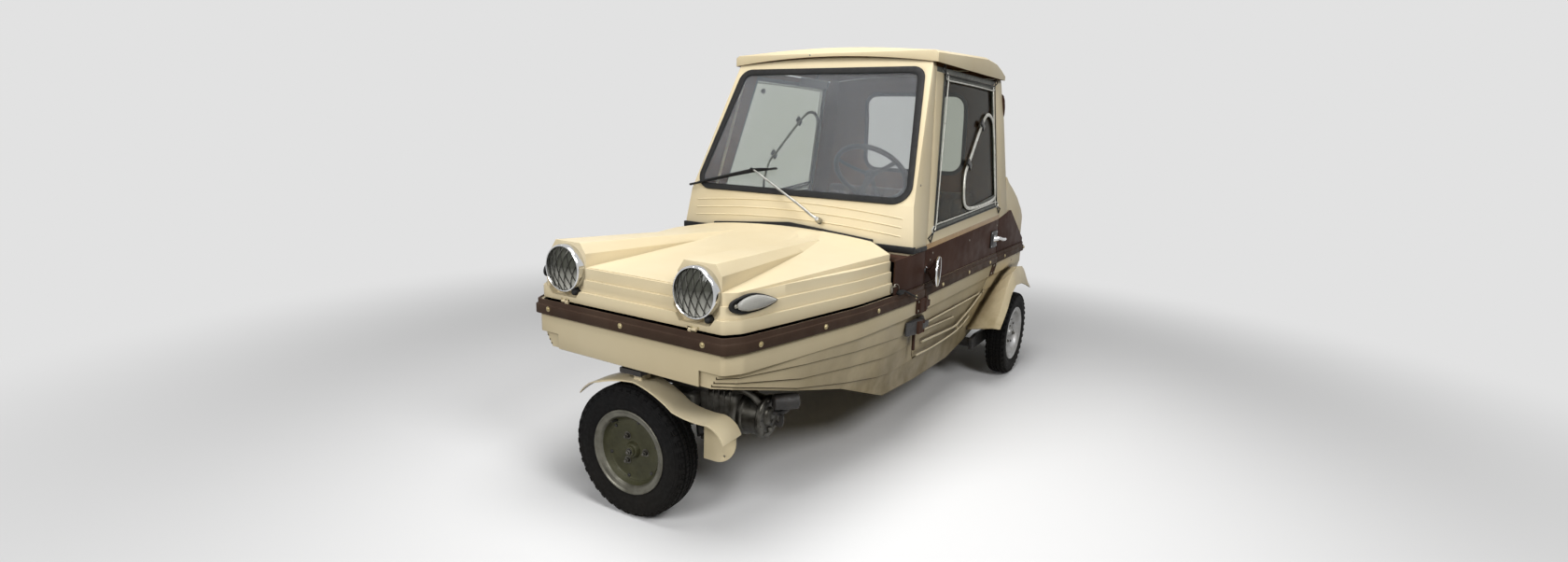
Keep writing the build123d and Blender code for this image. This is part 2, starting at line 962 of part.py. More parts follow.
def make_steering_head():
    tube_z = (head_bottom + head_top) / 2
    tube = at(0, front_axle_station, tube_z) * Cylinder(head_radius_outer, head_top - head_bottom)
    beam = block(-38, 38, front_axle_station + 20, bulkhead_station, 560, 626)
    cross = block(-520, 520, 300, 350, band_bottom + band_flange, 626)
    head = tube + beam + (cross & plan_slab(skin, 500, 700))
    bore = at(0, front_axle_station, tube_z) * Cylinder(kingpin_radius + pin_clearance, 200)
    return head - bore


def make_rear_suspension():
    # cross tube under the hull, a trailing arm and a stub axle on each side
    tube_z = strake_row(pivot_station)[5] - pivot_radius - 6
    end = arm_outer - 4
    cross = rod((-end, pivot_station, tube_z), (end, pivot_station, tube_z), pivot_radius)
    arm = [
        (pivot_station - 40, tube_z - 26),
        (pivot_station - 40, tube_z + 30),
        (pivot_station + 30, tube_z + 40),
        (rear_axle_station + 34, tyre_radius + 26),
        (rear_axle_station + 34, tyre_radius - 26),
        (rear_axle_station - 30, tyre_radius - 30),
    ]
    plate = side_slab(arm, arm_outer - 18, arm_outer)
    hub = (half_track + 34, rear_axle_station, tyre_radius)
    stub = rod((arm_outer - 10, rear_axle_station, tyre_radius), hub, stub_radius)
    saddle = block(330, 430, pivot_station - 30, pivot_station + 30, tube_z, tube_z + 60)
    saddle -= strake_form(1900, 2200, 0, 0)
    side = plate + stub + saddle
    return cross + side + mirrored(side)


def make_fender():
    # ribs of the fender: station, crest half width, seam, crest and edge heights, edge half width
    ribs = [
        (1955, 620, 306, 334, 330, 654),
        (2010, 628, 334, 398, 370, 655),
        (2063, 630, 361, 462, 420, 656),
        (2110, 630, 388, 524, 484, 656),
        (2190, 628, 432, 584, 521, 656),
        (2310, 624, 500, 601, 512, 656),
        (2420, 620, 556, 586, 484, 655),
        (2500, 614, 556, 556, 460, 652),
        (2560, 606, 520, 510, 446, 646),
    ]
    sections = []
    for station, crest, seam_z, crest_z, edge_z, edge in ribs:
        points = [
            (480, seam_z),
            (crest, crest_z),
            (edge, edge_z),
            (edge - 6, edge_z - 2),
            (crest - 5, crest_z - 7),
            (480, seam_z - 7),
        ]
        sections.append(Plane.XZ.offset(-station) * Polygon(*points, align=None))
    shell = loft(sections, ruled=True)
    core = strake_form(1600, 2680, 0, 0)
    core += plan_slab(0, band_bottom, band_top)
    return shell - core


def hood_form(inset, drop):
    level = hood_bottom - (1 if inset else 0)
    form = None
    for step, top in hood_steps:
        piece = plan_slab(step + inset, level, top - drop)
        level = top - drop - 1
        form = piece if form is None else form + piece
    step, top = hood_steps[-1]
    base = top - drop - 4
    front_half = 392 - inset
    rear_half = cab_half - step - inset
    rear_crown = hood_rear_crown - drop
    rear_edge = hood_rear_edge - drop
    front = [
        Line((-front_half, base), (front_half, base)),
        Line((front_half, base), (front_half, top - drop)),
        ThreePointArc((front_half, top - drop), (0, top + 3 - drop), (-front_half, top - drop)),
        Line((-front_half, top - drop), (-front_half, base)),
    ]
    rear = [
        Line((-rear_half, base), (rear_half, base)),
        Line((rear_half, base), (rear_half, rear_edge)),
        ThreePointArc((rear_half, rear_edge), (0, rear_crown), (-rear_half, rear_edge)),
        Line((-rear_half, rear_edge), (-rear_half, base)),
    ]
    first = Plane.XZ.offset(-(step + inset + 8)) * make_face(front)
    last = Plane.XZ.offset(-hood_rear - 10) * make_face(rear)
    crown = loft([first, last], ruled=True)
    crown = crown & plan_slab(step + inset, base, 1000)
    return form + crown


def make_pod(inset):
    # headlamp housing and the ridge that runs back from it, leaning inwards and fading into the lid
    half = pod_half - inset
    top_half = pod_top_half - inset
    end_half = ridge_half - inset
    low = hood_bottom - (1 if inset else 0)
    front = [
        (-half, low), (half, low), (half, pod_shoulder - inset),
        (top_half, pod_top - inset), (-top_half, pod_top - inset), (-half, pod_shoulder - inset),
    ]
    side = ridge_top - 22 - inset
    top = ridge_top - inset
    rear = [
        (-end_half, low), (end_half, low), (end_half, side),
        (end_half - 20, top), (-end_half + 20, top), (-end_half, side),
    ]
    rear = [(x - ridge_lean, z) for x, z in rear]
    first = Plane.XZ.offset(-(30 + inset)) * Polygon(*front, align=None)
    last = Plane.XZ.offset(-pod_end) * Polygon(*rear, align=None)
    return Pos(lamp_half_spacing, 0, 0) * loft([first, last], ruled=True)


def make_alcove(grow):
    # stepped front cut away round a headlamp
    half = alcove_half + grow
    floor = pod_floor - grow
    shape = [
        (-half, pod_top + 40), (-half, floor + 40), (-half + 30, floor), (half - 30, floor),
        (half, floor + 40), (half, pod_top + 40),
    ]
    return Pos(lamp_half_spacing, 0, 0) * front_slab(shape, -40, 30 + grow)


def hood_hinge_lug():
    # lug and pin on the hull's band
    x = lamp_half_spacing
    s = hood_hinge_station
    z = hood_hinge_height
    lug = block(x - 20, x - 10, s - 5, s + 5, band_top - 3, z)
    lug += rod((x - 20, s, z), (x - 10, s, z), hood_knuckle_radius)
    return lug + rod((x - 12, s, z), (x + 10, s, z), hood_pin_radius)


def make_hood():
    outer = hood_form(0, 0)
    inner = hood_form(hood_skin, hood_skin)
    pods = make_pod(0)
    pod_rooms = make_pod(hood_skin)
    outer += pods
    outer += mirrored(pods)
    inner += pod_rooms
    inner += mirrored(pod_rooms)
    alcove = make_alcove(0)
    alcove_room = make_alcove(hood_skin)
    outer -= alcove
    outer -= mirrored(alcove)
    inner -= alcove_room
    inner -= mirrored(alcove_room)
    shell = outer - inner - block(-700, 700, -50, 1000, 600, hood_bottom)
    trim = [
        (-700, -50), (700, -50), (700, hood_side_rear), (cab_half, hood_side_rear),
        (hood_cut_half, hood_rear), (-hood_cut_half, hood_rear),
        (-cab_half, hood_side_rear), (-700, hood_side_rear),
    ]
    shell = shell & extrude(Pos(0, 0, 600) * Polygon(*trim, align=None), amount=400, dir=(0, 0, 1))
    for x in (-lamp_half_spacing, lamp_half_spacing):
        shell -= rod((x, -40, lamp_height), (x, 80, lamp_height), lens_radius)
    for notch in both(block(lamp_half_spacing - 26, lamp_half_spacing - 5, 0, 17, 680, 702)):
        shell -= notch
    x = lamp_half_spacing
    s = hood_hinge_station
    z = hood_hinge_height
    knuckle = rod((x - 8, s, z), (x + 8, s, z), hood_knuckle_radius)
    knuckle += block(x - 4, x + 8, s, s + 8, z - 1, z + 4)
    bore = rod((x - 12, s, z), (x + 11, s, z), hood_pin_radius + pin_clearance)
    for leaf, hole in zip(both(knuckle), both(bore)):
        shell = shell + leaf - hole
    return shell


def make_lamp_ring():
    x = lamp_half_spacing
    ring = rod((x, lamp_front, lamp_height), (x, 30, lamp_height), lamp_radius)
    ring += rod((x, 30, lamp_height), (x, 66, lamp_height), lens_radius)
    ring -= rod((x, -10, lamp_height), (x, 60, lamp_height), lens_radius - 4)
    return ring


def make_lamp_lens():
    x = lamp_half_spacing
    body = rod((x, 12, lamp_height), (x, 60, lamp_height), lens_radius - 4)
    dome = Pos(x, 130, lamp_height) * Sphere(136)
    front = rod((x, -20, lamp_height), (x, 60, lamp_height), lens_radius - 4) & dome
    return body + front


def make_indicator():
    # teardrop side lamp on the hood's front corner
    line = [(30, 772), (60, 806), (110, 810), (165, 796), (196, 780), (165, 762), (110, 752), (60, 756)]
    lamp = side_slab(line, 390, 480)
    skin_form = plan_slab(2, 700, 860) - plan_slab(17, 690, 870)
    return lamp & skin_form


def hinge_rod(z0, z1, radius):
    return rod((hinge_x, hinge_station, z0), (hinge_x, hinge_station, z1), radius)


def hinge_block(s0, s1, z0, z1, depth):
    # one piece of a hinge leaf, flush with the outer face of the knuckle
    return block(hinge_x - depth, hinge_x + leaf_face, s0, s1, z0, z1)


def side_core():
    # what a hinge leaf must not cut into: the lapped hull, its band and the waist
    return strake_form(900, 1300, 0, 0) + plan_slab(0, band_bottom, cab_shoulder)


def make_door_hinges():
    # fixed halves of one door's two hinges, each with its pin
    halves = []
    for low, high in door_hinge_heights:
        z0 = low + knuckle_wall_height
        z1 = high - knuckle_wall_height
        leaf = hinge_block(hinge_station - leaf_length, hinge_station, low, high, leaf_depth)
        leaf -= block(400, 700, hinge_station - 12, hinge_station + 1, z0, z1)
        leaf -= side_core()
        barrel = hinge_rod(low, high, knuckle_radius)
        barrel -= block(400, 700, hinge_station - 12, hinge_station + 12, z0, z1)
        halves.append(leaf + barrel + hinge_rod(low, high, hinge_pin_radius))
    return halves


def make_door():
    shell = body_envelope(0) - body_envelope(door_skin)
    half_space = block(300, 700, 1000, 2300, 300, 1700)
    prism = side_slab(door_outline(0), 300, 700)
    panel = shell & half_space & prism
    panel -= side_slab(window_outline(0), 300, 700)
    for low, high in door_hinge_heights:
        z0 = low + knuckle_wall_height + 1
        z1 = high - knuckle_wall_height - 1
        leaf = hinge_rod(z0, z1, knuckle_radius)
        leaf += hinge_block(hinge_station, leaf_foot, z0, z1, knuckle_radius)
        leaf += hinge_block(leaf_foot, leaf_end, z0, z1, leaf_depth) - side_core()
        panel += leaf - hinge_rod(z0 - 5, z1 + 5, hinge_pin_radius + pin_clearance)
    return panel


def make_door_frame():
    # frame in the door's edge, and the frame of the small hinged pane that lies on the glass
    ring = body_envelope(-2) - body_envelope(frame_depth)
    ring = ring & side_slab(window_outline(0), 300, 700)
    ring -= side_slab(window_outline(frame_width), 300, 700)
    middle_s = sum(s for s, z in vent_points) / len(vent_points)
    middle_z = sum(z for s, z in vent_points) / len(vent_points)
    inner = []
    for s, z in vent_points:
        reach = hypot(s - middle_s, z - middle_z)
        keep = 1 - vent_bar / reach
        inner.append((middle_s + (s - middle_s) * keep, middle_z + (z - middle_z) * keep))
    bar = side_slab(vent_points, 300, 700) - side_slab(inner, 300, 700)
    return ring + (bar & (body_envelope(-3) - body_envelope(4 - inner_gap)))


def make_door_glass():
    pane = body_envelope(4) - body_envelope(4 + glass_thick)
    return pane & side_slab(window_outline(frame_width), 300, 700)


def make_door_handle():
    z = handle_height
    grip_x = cab_half + handle_reach
    rose = rod((cab_half, handle_station, z), (cab_half + 10, handle_station, z), handle_rose)
    neck = rod((cab_half + 8, handle_station, z), (grip_x + 4, handle_station, z), handle_bar)
    grip = rod(
        (grip_x, handle_station - handle_bar, z),
        (grip_x, handle_station + handle_length, z - handle_drop),
        handle_bar,
    )
    return rose + neck + grip


def make_door_mirror():
    s = mirror_station
    z = mirror_height
    inner = mirror_x - mirror_thick / 2
    outer = mirror_x + mirror_thick / 2
    base = rod((cab_half, s, z), (cab_half + 8, s, z), mirror_foot)
    stem = rod((cab_half + 4, s, z), (inner + 2, s, z), mirror_stem)
    disc = rod((inner, s - mirror_turn, z), (outer, s + mirror_turn, z), mirror_radius)
    return base + stem + disc


def make_wiper():
    across, up, off = wiper_pivot
    elbow_across, elbow_up, elbow_off = wiper_elbow
    arm = rod(wiper_pivot, wiper_elbow, wiper_arm_radius)
    blade = rod(*wiper_blade_ends, wiper_blade_radius)
    clip = rod(
        (elbow_across, elbow_up, elbow_off - 10),
        (elbow_across, elbow_up, elbow_off + 4),
        wiper_clip_radius,
    )
    spindle = rod((across, up, off - 52), (across, up, off + 6), wiper_spindle_radius)
    return (screen_plane().location * (arm + blade + clip + spindle)) - cab_form(0)


def make_tail_lamp():
    back = strakes[-1][0]
    start = (tail_lamp_half, back, tail_lamp_height)
    return rod(start, (tail_lamp_half, back + tail_lamp_depth, tail_lamp_height), tail_lamp_radius)


def save(name, *solids):
    shift = Location((0, -mid_station, 0))
    flat = []
    for solid in solids:
        flat += [piece.moved(shift) for piece in solid.solids()]
    shape = flat[0] if len(flat) == 1 else Compound(children=flat)
    shape.label = name
    export_step(shape, "parts/" + name + ".step")
    print(name, len(flat))


def main():
    os.makedirs("parts", exist_ok=True)
    save("hull", make_hull())
    save("belt_strip", make_belt_strip())
    save("body_side_panels", *both(make_scuttle_panels()), *both(make_tail_side()))
    save("cab_front", make_cab_front())
    save("rubber_seals", make_windscreen_seal(), make_cowl_seal(), make_rear_seal())
    save("fixed_glass", make_windscreen_glass(), make_rear_glass())
    save("roof_cap", make_roof())
    save("rear_wall", make_rear_wall())
    save("tail_deck", make_tail_deck())
    save("toe_board", make_bulkhead())
    save("floor_and_seat_box", make_floor())
    save("seat_cushion", make_cushion())
    save("seat_back", make_seat_back())
    save("dashboard", make_dashboard())
    save("steering_column", make_steering_column())
    save("steering_head", make_steering_head())
    save("rear_suspension", make_rear_suspension())
    save("rear_fenders", *both(make_fender()))
    hinges = make_door_hinges()
    save("door_hinges", *hinges, *[mirrored(hinge) for hinge in hinges])
    save("wiper", make_wiper())
    save("tail_lamps", *both(make_tail_lamp()))
    save("hood_shell", make_hood())
    save("headlamp_rings", *both(make_lamp_ring()))
    save("headlamp_lenses", *both(make_lamp_lens()))
    save("side_indicators", *both(make_indicator()))
    save("handwheel", make_handwheel())
    save("steering_fork", steered(make_fork()))
    save("engine_unit", steered(make_engine()))
    save("front_mudguard", steered(make_mudguard()))
    tyre = make_tyre()
    rim = make_rim()
    front_place = Pos(0, -front_wheel_lead, tyre_radius)
    save("front_tyre", steered(front_place * tyre))
    save("front_rim", steered(front_place * rim))
    rear_place = at(half_track, rear_axle_station, tyre_radius)
    for side in ("left", "right"):
        flip = mirrored if side == "right" else (lambda part: part)
        save("rear_" + side + "_tyre", flip(rear_place * tyre))
        save("rear_" + side + "_rim", flip(rear_place * rim))
        save("door_" + side + "_panel", flip(make_door()))
        save("door_" + side + "_frame", flip(make_door_frame()))
        save("door_" + side + "_glass", flip(make_door_glass()))
        save("door_" + side + "_strip", flip(make_door_strip()))
    save("door_left_fittings", make_door_handle(), make_door_mirror())
    save("door_right_handle", mirrored(make_door_handle()))


main()
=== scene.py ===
import math

import bmesh
import bpy
from mathutils import Matrix, Vector


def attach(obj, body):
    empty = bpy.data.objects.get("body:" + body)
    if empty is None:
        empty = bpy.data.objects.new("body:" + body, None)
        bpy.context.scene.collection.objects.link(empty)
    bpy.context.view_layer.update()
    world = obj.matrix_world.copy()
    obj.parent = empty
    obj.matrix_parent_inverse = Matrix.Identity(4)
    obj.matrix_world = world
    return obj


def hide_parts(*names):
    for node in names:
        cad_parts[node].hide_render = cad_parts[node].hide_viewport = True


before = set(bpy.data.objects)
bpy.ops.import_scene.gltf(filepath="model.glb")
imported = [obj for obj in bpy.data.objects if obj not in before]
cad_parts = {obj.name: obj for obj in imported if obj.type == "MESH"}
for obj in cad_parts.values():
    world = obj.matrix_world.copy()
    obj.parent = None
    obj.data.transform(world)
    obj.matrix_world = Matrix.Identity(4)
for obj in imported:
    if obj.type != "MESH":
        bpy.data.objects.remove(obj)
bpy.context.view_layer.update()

scene = bpy.context.scene
middleStation = 1347  # millimetres behind the belt's face, where the frame has its origin
fullTurn = 2 * math.pi
weld = 2e-5  # metres between points that count as one
upwards = Vector((0, 0, 1))
doorSides = ((1, "door_left"), (-1, "door_right"))


def mm(*values):
    return Vector([value / 1000 for value in values])


def at(x, station, z):
    # millimetres from the floor and the belt's face, as a place in the frame
    return mm(x, station - middleStation, z)


def stationOf(place):
    return place.y * 1000 + middleStation


def places(matrix, points):
    return [matrix @ mm(*point) for point in points]


def levelAt(line, place, slack=0):
    # the level at one place of a line of (place, level) points; past its ends, its last level
    for (p0, v0), (p1, v1) in zip(line, line[1:]):
        if p0 - slack <= place <= p1 + slack:
            return v0 + (v1 - v0) * (place - p0) / (p1 - p0)
    return line[-1][1]


def inBands(value, bands):
    return any(low < value < high for low, high in bands)


def srgb(code):
    parts = [int(code[i:i + 2], 16) / 255 for i in (1, 3, 5)]
    return (*[p / 12.92 if p <= 0.04045 else ((p + 0.055) / 1.055) ** 2.4 for p in parts], 1.0)


white, black = (1, 1, 1, 1), (0, 0, 0, 1)


def addNode(tree, kind, inputs=None, **settings):
    # a shader node whose inputs are plain values or other nodes' outputs
    node = tree.nodes.new(kind)
    for key, value in settings.items():
        setattr(node, key, value)
    for key, value in (inputs or {}).items():
        if isinstance(value, bpy.types.NodeSocket):
            tree.links.new(value, node.inputs[key])
        else:
            node.inputs[key].default_value = value
    return node


def newMaterial(name, uniform):
    material = bpy.data.materials.new(name)
    material.use_nodes = True
    tree = material.node_tree
    shader = tree.nodes["Principled BSDF"]
    for key, value in uniform.items():
        shader.inputs[key].default_value = value
    coords = addNode(tree, "ShaderNodeTexCoord").outputs["Object"]
    return material, tree, shader, coords


def noise(tree, coords, scale, detail=2.0, roughness=0.5):
    inputs = {"Vector": coords, "Scale": scale, "Detail": detail, "Roughness": roughness}
    return addNode(tree, "ShaderNodeTexNoise", inputs).outputs["Fac"]


def remap(tree, value, fromMin, fromMax, toMin=0.0, toMax=1.0, **settings):
    inputs = {"Value": value, "From Min": fromMin, "From Max": fromMax, "To Min": toMin, "To Max": toMax}
    return addNode(tree, "ShaderNodeMapRange", inputs, **settings).outputs["Result"]


def maths(tree, kind, *values):
    return addNode(tree, "ShaderNodeMath", dict(enumerate(values)), operation=kind).outputs[0]


def splitAxes(tree, coords):
    return addNode(tree, "ShaderNodeSeparateXYZ", {"Vector": coords}).outputs


def ramp(tree, source, low, high, first=black, last=white):
    node = addNode(tree, "ShaderNodeValToRGB", {"Fac": source})
    for element, position, colour in zip(node.color_ramp.elements, (low, high), (first, last)):
        element.position = position
        element.color = colour
    return node.outputs["Color"]


def mixColour(tree, amount, first, second):
    return addNode(tree, "ShaderNodeMix", {0: amount, 6: first, 7: second}, data_type="RGBA").outputs[2]


def emboss(tree, shader, height, depth, strength=1.0):
    bump = addNode(tree, "ShaderNodeBump", {"Strength": strength, "Distance": depth / 1000, "Height": height})
    tree.links.new(bump.outputs["Normal"], shader.inputs["Normal"])


def surface(name, colour, second, patchSize, rough, grain, metallic=0.0, specular=0.5, grimeAndShade=None, bowDarkeningShare=None,
            crease=None, fleck=None):
    # two tones in soft patches, grime towards the floor (on the cream hull partly painted shade), painted shade in
    # creases, flecks, and pits or peel in the bump; sizes are in mm
    # rough: least, most; grain: size, depth; grimeAndShade: colour, top, foot, least, amount; crease: colour, reach,
    # amount;
    # fleck: colour, size; grimeAndShade's top and foot are in metres over the floor
    material, tree, shader, coords = newMaterial(name, {"Metallic": metallic, "Specular IOR Level": specular})
    tone = ramp(tree, noise(tree, coords, 1000 / patchSize, 4.0), 0.35, 0.68, srgb(colour), srgb(second))
    if grimeAndShade:
        # a grime colour towards the floor; on the cream hull it is partly painted shade
        dirtAndShade, top, foot, least, most = grimeAndShade
        place = splitAxes(tree, coords)
        fall = remap(tree, place["Z"], top, foot)
        spread = ramp(tree, noise(tree, coords, 7.0, 7.0, 0.6), 0.38, 0.7, (0.45, 0.45, 0.45, 1))
        if bowDarkeningShare:
            # the bow keeps less of the low darkening: spray from the front wheel lands behind it, and less painted
            # shade is laid there
            fall = maths(tree, "MULTIPLY", fall, remap(tree, place["Y"], -1.32, -0.75, bowDarkeningShare))
        amount = maths(tree, "MULTIPLY_ADD", fall, spread, least)
        tone = mixColour(tree, maths(tree, "MULTIPLY", amount, most), tone, srgb(dirtAndShade))
    if crease:
        # painted shade where two faces meet, found by ambient occlusion, most of it below the belt
        dirtAndShade, reach, most = crease
        hollow = addNode(tree, "ShaderNodeAmbientOcclusion", {"Distance": reach / 1000}, samples=6).outputs["AO"]
        near = ramp(tree, hollow, 0.5, 0.93, white, black)
        lower = remap(tree, splitAxes(tree, coords)["Z"], 0.7, 0.58, most * 0.25, most)
        tone = mixColour(tree, maths(tree, "MULTIPLY", near, lower), tone, srgb(dirtAndShade))
    if fleck:
        specks = addNode(tree, "ShaderNodeTexVoronoi", {"Scale": 1000 / fleck[1], "Vector": coords})
        dots = ramp(tree, specks.outputs["Distance"], 0.05, 0.12, white, black)
        where = ramp(tree, noise(tree, coords, 9.0), 0.5, 0.62)
        tone = mixColour(tree, maths(tree, "MULTIPLY", dots, where), tone, srgb(fleck[0]))
    tree.links.new(tone, shader.inputs["Base Color"])
    smudge = noise(tree, coords, 1000 / patchSize * 5, 6.0)
    tree.links.new(remap(tree, smudge, 0.3, 0.7, *rough), shader.inputs["Roughness"])
    emboss(tree, shader, noise(tree, coords, 1000 / grain[0], 3.0), grain[1])
    return material


# hand laid gelcoat, polished and weathered: even cream with faint print-through; darker low down, partly road dust and
# partly painted shade, and painted shade in its creases
creamGelcoat = surface("creamGelcoat", "#E4D6B5", "#DCCCA8", 520, (0.35, 0.5), (34, 0.3), specular=0.15,
                       grimeAndShade=("#6F5C30", 0.64, 0.3, 0.02, 0.8), bowDarkeningShare=0.15, crease=("#4A3B22", 30, 0.9))
# the same gelcoat on small raised mouldings, kept free of the hull finish's low darkening and painted crease shade
creamTrim = surface("creamTrim", "#E4D6B4", "#DAC9A2", 200, (0.3, 0.45), (20, 0.1))
# the same gelcoat in dark brown: shows a sharp sheen and fine dust
brownGelcoat = surface("brownGelcoat", "#3E2A23", "#463027", 300, (0.5, 0.66), (30, 0.3), specular=0.07,
                       grimeAndShade=("#8A7A68", 0.9, 0.5, 0.03, 0.06))
# extruded PVC bumper strip: darker, a little chalky on top
beltPvc = surface("beltPvc", "#2E1D16", "#38261E", 160, (0.48, 0.66), (6, 0.06), specular=0.1,
                  grimeAndShade=("#8F806C", 0.9, 0.55, 0.08, 0.16))
# moulded EPDM rubber: near black, dull, slightly bloomed
blackRubber = surface("blackRubber", "#111111", "#191817", 90, (0.5, 0.72), (3, 0.05), specular=0.3)
# moulded hinge cover: rubber gone grey with dust
greyRubber = surface("greyRubber", "#4A4947", "#38373A", 40, (0.5, 0.75), (3, 0.1))
# vulcanised tyre rubber: black brown with dried road dust
tyreRubber = surface("tyreRubber", "#070708", "#0D0C0C", 60, (0.7, 0.9), (2.5, 0.12), specular=0.15,
                     grimeAndShade=("#3E3930", 0.3, 0.0, 0.06, 0.2))
# extruded aluminium, oxidised: soft grey sheen with darker blotches
agedAluminium = surface("agedAluminium", "#B9B8B2", "#8F8D86", 45, (0.28, 0.48), (1.6, 0.03), 1.0)
# drawn aluminium strip, greyed and dirty: dark olive grey with a dull sheen
windowStrip = surface("windowStrip", "#4B4D44", "#33352E", 70, (0.35, 0.55), (2, 0.03), 0.55)
# bent aluminium tube, polished by hands
brightAluminium = surface("brightAluminium", "#CFCEC6", "#B2B0A5", 40, (0.24, 0.4), (1.6, 0.02), 0.55)
# chromed pressing: mirror bright with faint pitting
chromePlate = surface("chromePlate", "#DADADA", "#C9CACB", 60, (0.05, 0.16), (12, 0.02), 1.0, fleck=("#5A4A3A", 9))
# wheel enamel over pressed steel: silver, chipped and dusty
wheelSilver = surface("wheelSilver", "#C9C9CA", "#ACABA8", 40, (0.3, 0.5), (5, 0.1), 0.35,
                      grimeAndShade=("#5A5242", 0.42, 0.0, 0.1, 0.35), fleck=("#5A3A22", 12))
# the front rim: the same enamel worn to dull steel
wheelWorn = surface("wheelWorn", "#7C7A6F", "#56544A", 45, (0.3, 0.5), (5, 0.1), 0.6,
                    grimeAndShade=("#2F2C22", 0.5, 0.0, 0.2, 0.45), fleck=("#5A3A22", 12))
# bare wheel centre gone olive with road film; on the front rim it also lines the deep well, where its darkness is
# painted shade
wheelOlive = surface("wheelOlive", "#45442F", "#383725", 50, (0.4, 0.62), (4, 0.1), 0.2, 0.3, fleck=("#6B4A2C", 10))
# stoved black chassis paint with light surface rust
chassisBlack = surface("chassisBlack", "#1B1A19", "#2B2724", 50, (0.45, 0.7), (3, 0.12), fleck=("#5E3A22", 11))
# sand cast aluminium, oily: pale grey dulled to brown lower down
castAlloy = surface("castAlloy", "#77756E", "#4B4841", 35, (0.36, 0.6), (1.8, 0.25), 0.75,
                    grimeAndShade=("#26211B", 0.5, 0.1, 0.2, 0.5))
# the machined drum on the casting: the same alloy, dark with oil
drumAlloy = surface("drumAlloy", "#6A6861", "#3A3832", 30, (0.3, 0.5), (1.8, 0.1), 0.8,
                    grimeAndShade=("#221E18", 0.5, 0.2, 0.3, 0.6))
# silvered bowl behind the lamp glass
lampSilver = surface("lampSilver", "#9B998D", "#85837A", 30, (0.25, 0.4), (8, 0.02), 0.5)
# galvanised guard wire, gone grey
guardWire = surface("guardWire", "#4E4D48", "#33322E", 18, (0.25, 0.4), (1.2, 0.03), 0.8)
# zinc plated steel fittings: warm grey, slightly dull
zincPlate = surface("zincPlate", "#9A968B", "#7C7668", 20, (0.3, 0.5), (1.5, 0.03), 1.0)
# brass slotted screws, tarnished
brassScrew = surface("brassScrew", "#C2B48C", "#93835C", 12, (0.3, 0.45), (1.5, 0.02), 0.6)
# moulded black plastic
blackPlastic = surface("blackPlastic", "#1A1A1A", "#232323", 60, (0.35, 0.5), (1.8, 0.03))
# glued brown trim cloth on the inside walls: flat and fibrous
trimCloth = surface("trimCloth", "#5F4330", "#6A4C36", 180, (0.85, 0.98), (2.2, 0.4), specular=0.0)
# the ledge below the door window: gelcoat gone tan under handling and sun
ledgeTan = surface("ledgeTan", "#B9986A", "#A5845A", 120, (0.35, 0.5), (12, 0.1))
# needle felt floor mat, dark grey brown
feltMat = surface("feltMat", "#2C2723", "#38322D", 120, (0.9, 1.0), (3, 0.8))
# painted shadow: a dark brown line under each lap of the hull
lapShadow = surface("lapShadow", "#43361E", "#32270F", 60, (0.8, 0.95), (3, 0.1))
# matt black printed dial, and its enamel marks
dialFace = surface("dialFace", "#101112", "#17181A", 30, (0.4, 0.5), (2, 0.01))
dialWhite = surface("dialWhite", "#D9D6C8", "#C8C4B4", 20, (0.5, 0.6), (2, 0.01))
# silvered glass of the door mirror
mirrorFace = newMaterial("mirrorFace", {"Metallic": 1.0, "Roughness": 0.02, "Base Color": srgb("#D5D9DA")})[0]


def glassMaterial(name, colour, rough=0.0, ior=1.45, reflectionVeil=0.0):
    # float glass: clear with a faint tint; the pale diffuse veil mixed over it is a painted reflection
    material, tree, shader, coords = newMaterial(name, {
        "Roughness": rough, "IOR": ior, "Base Color": srgb(colour), "Transmission Weight": 1.0})
    emboss(tree, shader, noise(tree, coords, 3.0), 0.4)
    if reflectionVeil:
        # painted reflection: a pale diffuse veil over the glass
        veilLayer = addNode(tree, "ShaderNodeBsdfDiffuse", {"Color": srgb("#C8CCD2")}).outputs[0]
        amount = remap(tree, noise(tree, coords, 2.2, 4.0), 0.3, 0.7, reflectionVeil * 0.7, reflectionVeil * 1.3)
        both = addNode(tree, "ShaderNodeMixShader", {0: amount, 1: shader.outputs[0], 2: veilLayer})
        tree.links.new(both.outputs[0], tree.nodes["Material Output"].inputs["Surface"])
    return material


windowGlass = glassMaterial("windowGlass", "#C9CEC2", ior=1.08)
veiledGlass = glassMaterial("veiledGlass", "#E2E4E2", ior=1.15, reflectionVeil=0.1)
redLens = glassMaterial("redLens", "#B01818", 0.12)


def grooves(tree, coords, scale, direction):
    inputs = {"Scale": scale, "Distortion": 0.0, "Vector": coords}
    return addNode(tree, "ShaderNodeTexWave", inputs, wave_type="BANDS", bands_direction=direction).outputs["Fac"]


def flutedMaterial():
    # pressed lamp glass over the reflector: base colour dark towards the top and pale at the foot, a painted
    # reflection; upright flutes 9 mm wide
    material, tree, shader, coords = newMaterial("flutedGlass", {
        "Roughness": 0.12, "IOR": 1.45, "Specular IOR Level": 0.3})
    fall = remap(tree, splitAxes(tree, coords)["Z"], 0.735, 0.835)
    mixed = maths(tree, "MULTIPLY_ADD", noise(tree, coords, 26.0, 3.0), 0.35, fall)
    tone = ramp(tree, mixed, 0.2, 0.95, srgb("#E4E3DA"), srgb("#4A4B43"))
    tree.links.new(tone, shader.inputs["Base Color"])
    emboss(tree, shader, grooves(tree, coords, 35.0, "X"), 0.5, 0.3)
    return material


def clearLensMaterial():
    # milky moulded acrylic with fine prisms
    material, tree, shader, coords = newMaterial("clearLens", {
        "Roughness": 0.1, "IOR": 1.4, "Base Color": srgb("#DAD9D3"), "Transmission Weight": 0.45})
    emboss(tree, shader, grooves(tree, coords, 60.0, "Z"), 0.8, 0.5)
    return material


